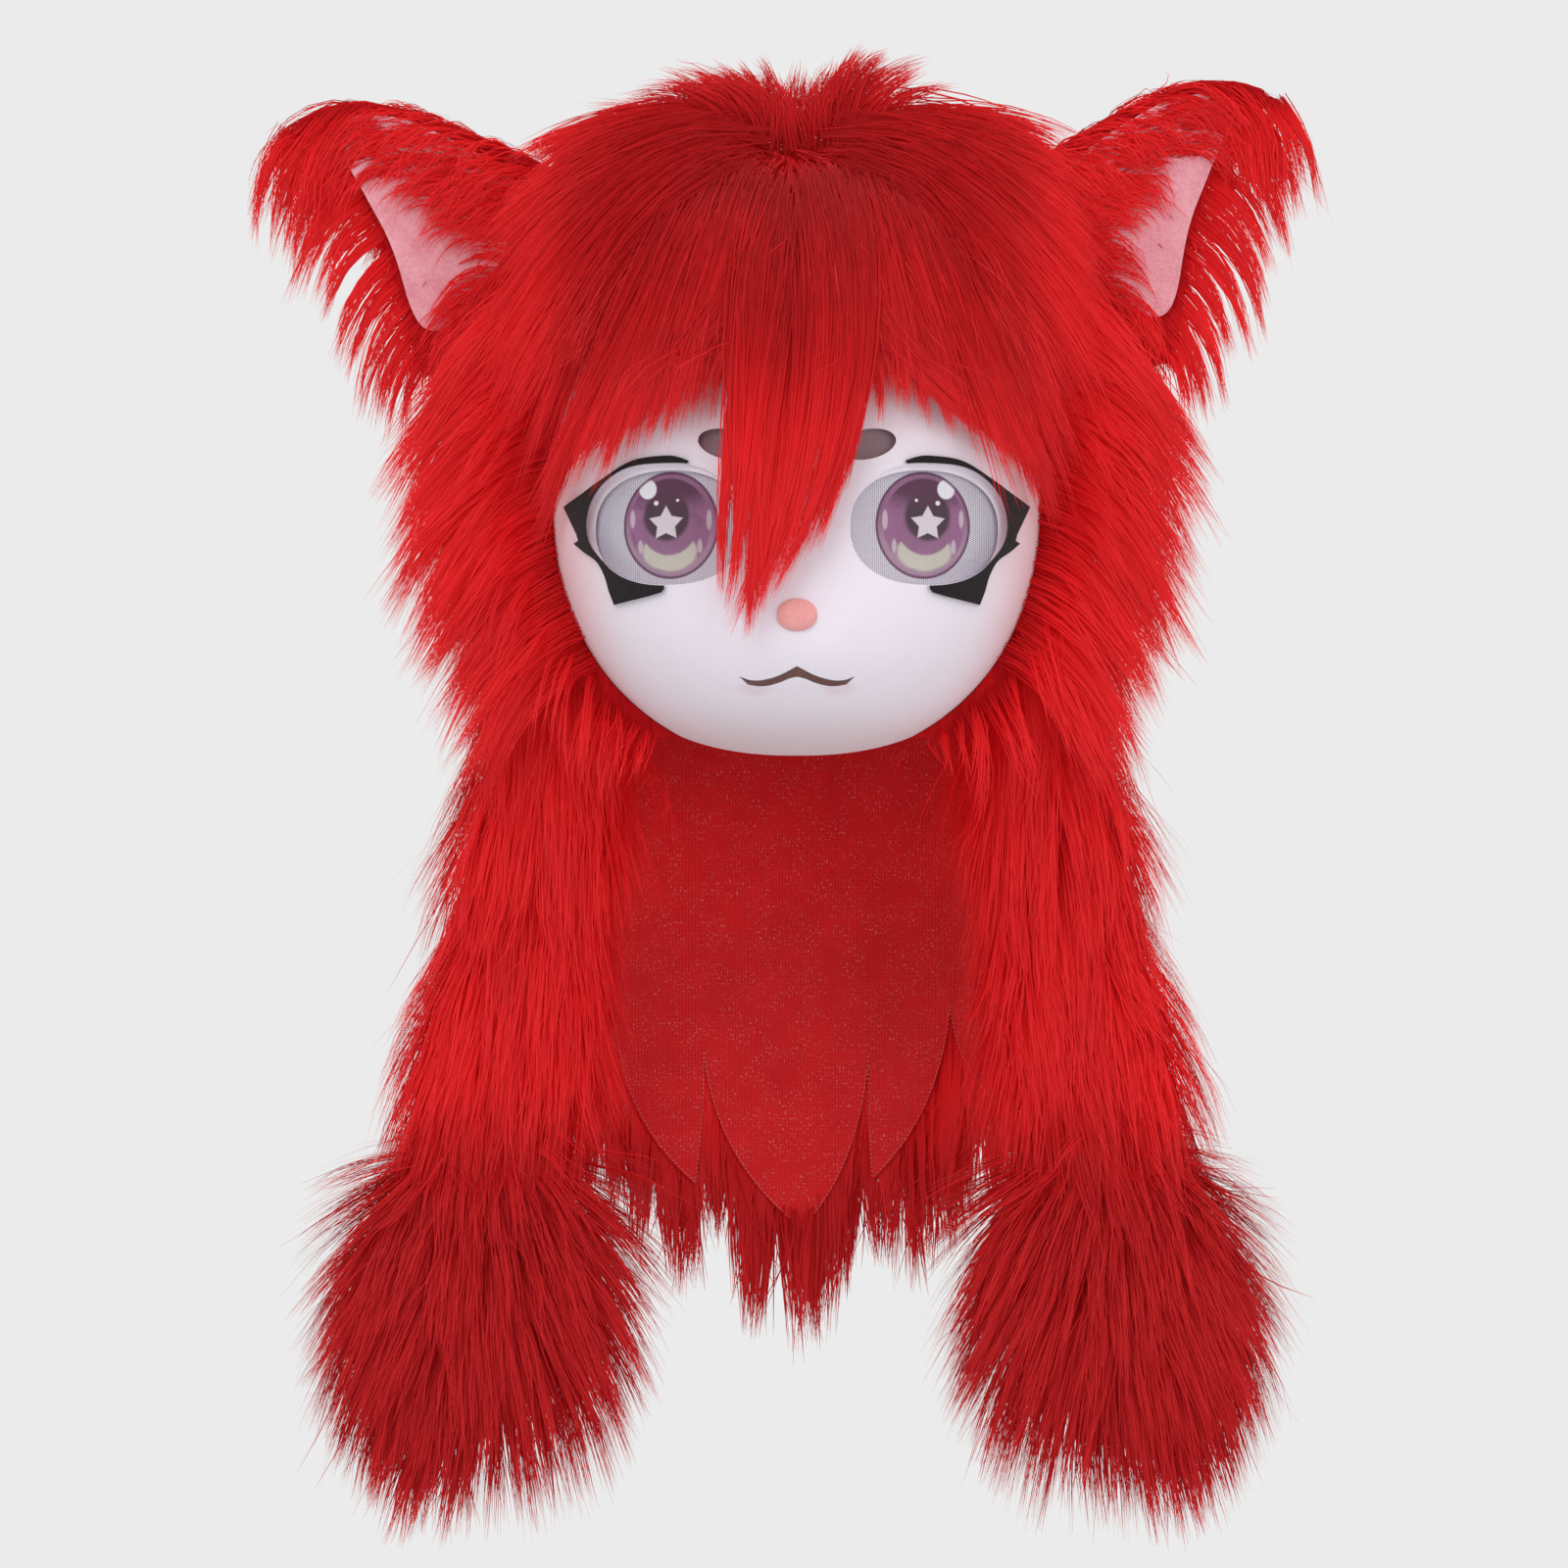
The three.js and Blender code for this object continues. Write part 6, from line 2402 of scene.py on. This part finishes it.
@dataclass
class Cape:
    """The lobed knit cape that hangs behind the neck, and the fur on its far side."""

    seed: int = 71
    count: int = 10500
    width: float = 240.0
    length: float = 328.0
    back: float = 131.0
    curve: float = 32.0
    lean: float = 14.0
    cloth: float = 2.0
    edge_down: float = 0.52
    top_down: float = 0.04
    notch: float = 0.11
    lobes: list[tuple[Pair, Pair]] = field(
        default_factory=lambda: [
            ((-0.96, 0.8), (-0.82, 0.66)),
            ((-0.46, 0.92), (-0.42, 0.705)),
            ((0.03, 1.0), (0.33, 0.715)),
            ((0.35, 0.915), (0.7, 0.625)),
            ((0.92, 0.79), (1.0, 0.52)),
        ]
    )

    @staticmethod
    def parting(across: Array) -> Array:
        """Where the hem's fur parts beside its longest middle locks."""
        return np.exp(-(((across - 0.36) / 0.08) ** 2))

    @property
    def top(self) -> float:
        """Height of the cape's upper edge."""
        return float(neck_height(self.back)) + 10.0

    def point(self, across: Array, down: Array, depth: Array | float) -> Array:
        """Points of the hanging cloth, with its slight waves."""
        wave = 2.2 * np.sin(across * 5.1 + 0.7) * ease(down, 0.2, 1.0)
        y = self.back - self.curve * across**2 - self.lean * down + depth + wave
        return np.stack([across * self.width / 2, y, self.top - down * self.length], axis=-1)

    def outline(self) -> Array:
        """Outline of the cut cloth, as across and down shares."""
        points = [np.array([(-1.0, self.top_down)]), np.array([(-1.0, self.edge_down)])]
        start = np.array([-1.0, self.edge_down])
        share = np.linspace(0, 1, 14)[1:, None]
        for tip, notch in self.lobes:
            peak, end = np.array(tip), np.array(notch)
            for a, b in ((start, peak), (peak, end)):
                edge = start if b is peak else end
                bulge = np.array([edge[0] + 0.12 * (peak[0] - edge[0]), edge[1] + 0.62 * (peak[1] - edge[1])])
                points.append(a * (1 - share) ** 2 + 2 * bulge * share * (1 - share) + b * share**2)
            start = end
        points.append(np.array([(1.0, self.top_down)]))
        return np.vstack(points)

    def cut(self) -> tuple[Array, list[tuple[int, ...]], float]:
        """The flat cloth in triangles.

        Returns:
            Its points as across and down, its triangles, and its area in square metres.
        """
        size = np.array([self.width / 2, self.length])
        edge = self.outline() * size
        loop = []
        for a, b in zip(edge, np.roll(edge, -1, axis=0)):
            steps = max(1, int(np.linalg.norm(b - a) / 4.0))
            loop.extend(a + (b - a) * k / steps for k in range(steps))
        loop = np.array(loop)
        columns, rows = np.arange(-118, 119, 5.0), np.arange(14, 330, 5.0)
        grid = np.stack(np.meshgrid(columns, rows), axis=-1).reshape(-1, 2)
        inside = self.within(grid, loop)
        far = np.array([np.min(np.linalg.norm(loop - point, axis=1)) > 2.4 for point in grid])
        points = np.vstack([loop, grid[inside & far]])
        edges = [(i, (i + 1) % len(loop)) for i in range(len(loop))]
        made = delaunay_2d_cdt([Vector(point) for point in points], edges, [], 1, 1e-4)
        flat = np.array([tuple(point) for point in made[0]])
        faces = [tuple(face) for face in made[2]]
        middle = np.array([flat[list(face)].mean(axis=0) for face in faces])
        kept = self.within(middle, loop)
        faces = [face for face, keep in zip(faces, kept) if keep]
        a, b, c = (flat[[face[i] for face in faces]] for i in range(3))
        area = 0.5 * np.abs(np.cross(b - a, c - a)).sum() / METRE**2
        return flat / size, faces, float(area)

    @staticmethod
    def within(points: Array, loop: Array) -> Array:
        """Mask of points inside a loop."""
        x, y = points[:, 0], points[:, 1]
        inside = np.zeros(len(points), bool)
        for (x0, y0), (x1, y1) in zip(loop, np.roll(loop, -1, axis=0)):
            if y0 == y1:
                continue
            crosses = (y0 > y) != (y1 > y)
            inside ^= crosses & (x < (x1 - x0) * (y - y0) / (y1 - y0) + x0)
        return inside

    def sheet(self) -> tuple[bpy.types.Object, float]:
        """The cloth as a thin closed sheet with its map in millimetres."""
        flat, faces, area = self.cut()
        count = len(flat)
        front = self.point(flat[:, 0], flat[:, 1], 0.0)
        rear = self.point(flat[:, 0], flat[:, 1], self.cloth - 0.4)
        used = {}
        for face in faces:
            for i in range(3):
                a, b = face[i], face[(i + 1) % 3]
                used[(a, b)] = used.get((a, b), 0) + 1
        rim = [(a, b) for a, b in used if (b, a) not in used]
        whole = [tuple(face) for face in faces]
        whole += [tuple(index + count for index in reversed(face)) for face in faces]
        whole += [(b, a, a + count, b + count) for a, b in rim]
        cloth = skin("cape", np.vstack([front, rear]), whole)
        layer = cloth.data.uv_layers.new(name="cloth")
        across = np.tile(flat[:, 0] * self.width / 2, 2)
        down = np.tile(flat[:, 1] * self.length, 2)
        corners = np.empty(len(cloth.data.loops), dtype=np.int32)
        cloth.data.loops.foreach_get("vertex_index", corners)
        layer.data.foreach_set("uv", np.stack([across[corners], down[corners]], axis=1).ravel())
        return cloth, area

    def fur_base(self) -> bpy.types.Object:
        """The closed underpile behind the cloth."""
        share, across = np.meshgrid(np.linspace(0, 1, 40), np.linspace(-0.95, 0.95, 30), indexing="ij")
        down = 0.06 + share * (0.84 - 0.17 * across**2 - 0.5 * self.notch * self.parting(np.abs(across)))
        rows, columns = down.shape
        front = self.point(across, down, self.cloth + 0.6).reshape(-1, 3)
        rear = self.point(across, down, self.cloth + 8.0).reshape(-1, 3)
        count = len(front)
        faces = []
        for i in range(rows - 1):
            for j in range(columns - 1):
                a = i * columns + j
                faces.append((a, a + 1, a + columns + 1, a + columns))
                faces.append(tuple(index + count for index in (a, a + columns, a + columns + 1, a + 1)))
        rim = list(range(columns))
        rim += [i * columns + columns - 1 for i in range(1, rows)]
        rim += [(rows - 1) * columns + j for j in range(columns - 2, -1, -1)]
        rim += [i * columns for i in range(rows - 2, 0, -1)]
        for a, b in zip(rim, rim[1:] + rim[:1]):
            faces.append((a, a + count, b + count, b))
        return skin("cape fur", np.vstack([front, rear]), faces)

    def stitches(self, salon: Salon, thread: bpy.types.Material) -> None:
        """Pale overlock stitches along the cut edge of the lobes."""
        edge = self.outline()[1:-1]
        inner = edge * (0.994, 0.996)
        lines = self.point(inner[:, 0], inner[:, 1], -0.35)
        piece = salon.stitches("cape_stitches", lines, thread)
        dress(piece, thread)

    def build(self, salon: Salon, finishes: dict[str, bpy.types.Material]) -> None:
        """Makes the cloth, its edge stitches and the fur."""
        cloth, area = self.sheet()
        cloth = dress(to_frame(smooth(cloth, 50.0), "cape_knit"), finishes["knit"], ["neck_cape"])
        self.stitches(salon, finishes["thread"])
        rng = np.random.default_rng(self.seed)
        base = self.fur_base()
        backing = Backing(base)

        def wanted(place: Array, outward: Array) -> Array:
            """The far side, the lower end and a band in front that the notches show."""
            low = place[:, 2] < self.top - self.length * 0.56
            return (outward[:, 1] > 0.3) | (outward[:, 2] < -0.5) | low

        def comb(place: Array, outward: Array) -> Array:
            """Straight down."""
            return np.tile(DOWN, (len(place), 1))

        def length(place: Array, outward: Array) -> Array:
            """Longer towards the middle of the hem."""
            across = np.abs(place[:, 0]) / (self.width / 2)
            low = ease(place[:, 2], self.top - self.length * 0.55, self.top - self.length * 0.78)
            hem = self.top - self.length * (1.18 - 0.27 * across**1.5 - self.notch * self.parting(across))
            return 70 * (1 - low) + np.clip(place[:, 2] - hem, 34, 125) * low

        def lift(place: Array, outward: Array) -> Array:
            """Flat against the cloth in front, and standing off behind."""
            return np.where(outward[:, 1] < 0, 1.0, 9.0)

        roots = roots_on(backing, self.count, rng, comb, length, lift, wanted)
        groom = Groom(
            droop=0.5,
            lock_spacing=22,
            lock_pull=0.95,
            pull_power=1.7,
            wisp_spacing=6,
            fluff=2.5,
            uneven=0.24,
            girth=1.5,
        )
        strands = groom.grow(roots, None, rng)
        across = strands.path[..., 0] * 2 / self.width
        down = (self.top - strands.path[..., 2]) / self.length
        behind = self.point(across, down, self.cloth + 0.4)
        cloth_there = strands.path[..., 2] > self.top - self.length
        near = cloth_there & (strands.path[..., 1] < behind[..., 1])
        strands.path[..., 1] = np.where(near, behind[..., 1], strands.path[..., 1])
        dress(to_frame(smooth(base), "cape_underpile"), salon.under, ["cape_fur"])
        salon.strands("cape_pile", strands)


@dataclass
class Studio:
    """Camera, pale floor and soft light."""

    camera_at: Triple = (-6.5, -2660.0, -10.0)
    lens: float = 117.0
    backdrop: Colour = srgb(235, 235, 235)
    ambient: float = 0.8
    floor_height: float = -1.05
    floor_reach: float = 14.0
    aim: Triple = (0.0, 0.0, -0.3)
    lamps: tuple[tuple[str, Triple, float, float], ...] = (
        ("key", (-0.9, -2.4, 1.5), 1.6, 23.0),
        ("fill", (1.6, -2.2, 0.3), 1.6, 13.0),
        ("top", (0.0, -0.3, 2.1), 1.8, 14.0),
        ("left rim", (-2.0, 0.9, 0.4), 1.2, 10.0),
        ("right rim", (2.0, 0.9, 0.4), 1.2, 10.0),
    )

    def camera(self) -> None:
        """Makes the camera."""
        data = bpy.data.cameras.new("camera")
        data.lens = self.lens
        data.sensor_width = 36.0
        data.clip_start = 0.05
        data.clip_end = 60.0
        camera = linked("camera", data)
        x, y, z = self.camera_at
        camera.location = (x / METRE, y / METRE, (z - FORM_DROP) / METRE)
        camera.rotation_euler = (math.pi / 2, 0.0, 0.0)
        bpy.context.scene.camera = camera

    def surround(self) -> None:
        """Makes the world and a wide pale floor of the backdrop's own grey."""
        world = bpy.data.worlds.new("studio")
        bpy.context.scene.world = world
        world.use_nodes = True
        self.even_light(world.node_tree, "ShaderNodeBackground", "ShaderNodeOutputWorld")
        reach = self.floor_reach
        points = np.array([(-reach, -reach, 0), (reach, -reach, 0), (reach, reach, 0), (-reach, reach, 0)])
        floor = skin("floor", points + (0, 0, self.floor_height), [(0, 1, 2, 3)])
        paper = bpy.data.materials.new("pale floor")
        paper.use_nodes = True
        self.even_light(paper.node_tree, "ShaderNodeEmission", "ShaderNodeOutputMaterial")
        floor.data.materials.append(paper)

    def even_light(self, tree: bpy.types.NodeTree, shader: str, end: str) -> None:
        """Fills a tree with the backdrop's grey, dimmer as a source of light."""
        tree.nodes.clear()
        glow = tree.nodes.new(shader)
        glow.inputs["Color"].default_value = (*self.backdrop, 1.0)
        path = tree.nodes.new("ShaderNodeLightPath")
        level = tree.nodes.new("ShaderNodeMapRange")
        level.inputs["To Min"].default_value = self.ambient
        level.inputs["To Max"].default_value = 1.0
        out = tree.nodes.new(end)
        tree.links.new(path.outputs["Is Camera Ray"], level.inputs["Value"])
        tree.links.new(level.outputs[0], glow.inputs["Strength"])
        tree.links.new(glow.outputs[0], out.inputs[0])

    def lamp(self, name: str, place: Triple, size: float, watts: float) -> None:
        """Makes one soft square light, aimed at the head's middle."""
        data = bpy.data.lights.new(name, "AREA")
        data.shape = "SQUARE"
        data.size = size
        data.energy = watts
        lamp = linked(name, data)
        lamp.location = place
        way = Vector(self.aim) - Vector(place)
        lamp.rotation_euler = way.to_track_quat("-Z", "Y").to_euler()

    def build(self) -> None:
        """Makes everything round the head."""
        self.camera()
        self.surround()
        for name, place, size, watts in self.lamps:
            self.lamp(name, place, size, watts)
        bpy.context.scene.view_settings.view_transform = "Standard"


PLUSHES = (
    ("mouth", "brown felt", (128, 90, 84), (98, 66, 62), 900.0, 80.0, 0.5),
    ("nose", "coral velour", (248, 176, 174), (240, 160, 158), 900.0, 90.0, 0.35),
    ("ear", "pink plush", (242, 176, 186), (224, 142, 156), 620.0, 55.0, 0.7),
    ("thread", "pale thread", (236, 120, 116), (214, 84, 84), 900.0, 90.0, 0.4),
    ("lining", "hood lining", (150, 22, 28), (112, 12, 18), 500.0, 60.0, 0.6),
)


def main() -> None:
    """Builds the dressed head in order."""
    logging.basicConfig(level=logging.INFO, format="%(name)s %(message)s")
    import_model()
    Studio().build()
    form = HeadForm()
    finishes = {
        "mask": MaskFinish().build(),
        "eye": EyeFinish().build(),
        "brow": MeshFinish("brow mesh", srgb(166, 144, 150), srgb(120, 98, 106)).build(),
        "felt": FeltFinish().build(),
        "knit": KnitFinish().build(),
    }
    for key, name, light, dark, grain, patch, bump in PLUSHES:
        finishes[key] = PlushFinish(name, srgb(*light), srgb(*dark), grain, patch, bump).build()
    maker = StrandTree()
    stitcher = StitchTree()
    salon = Salon(
        maker.build(),
        maker,
        stitcher.build(),
        stitcher,
        StrandFinish().build(),
        UnderpileFinish().build(),
    )
    FaceMask(form).build(finishes)
    HoodLining(form).build(finishes)
    Coat(form).build(salon)
    Fringe(form).build(salon)
    Crown().build(salon)
    Ear(Side.LEFT, out=157.0, height=267.0, tilt=31.0, seed=41).build(salon, finishes)
    Ear(Side.RIGHT, out=151.0, height=270.0, tilt=38.0, seed=43).build(salon, finishes)
    Flap(Side.LEFT, seed=51).build(salon)
    Flap(Side.RIGHT, seed=61).build(salon)
    Cape().build(salon, finishes)


if __name__ == "__main__":
    main()
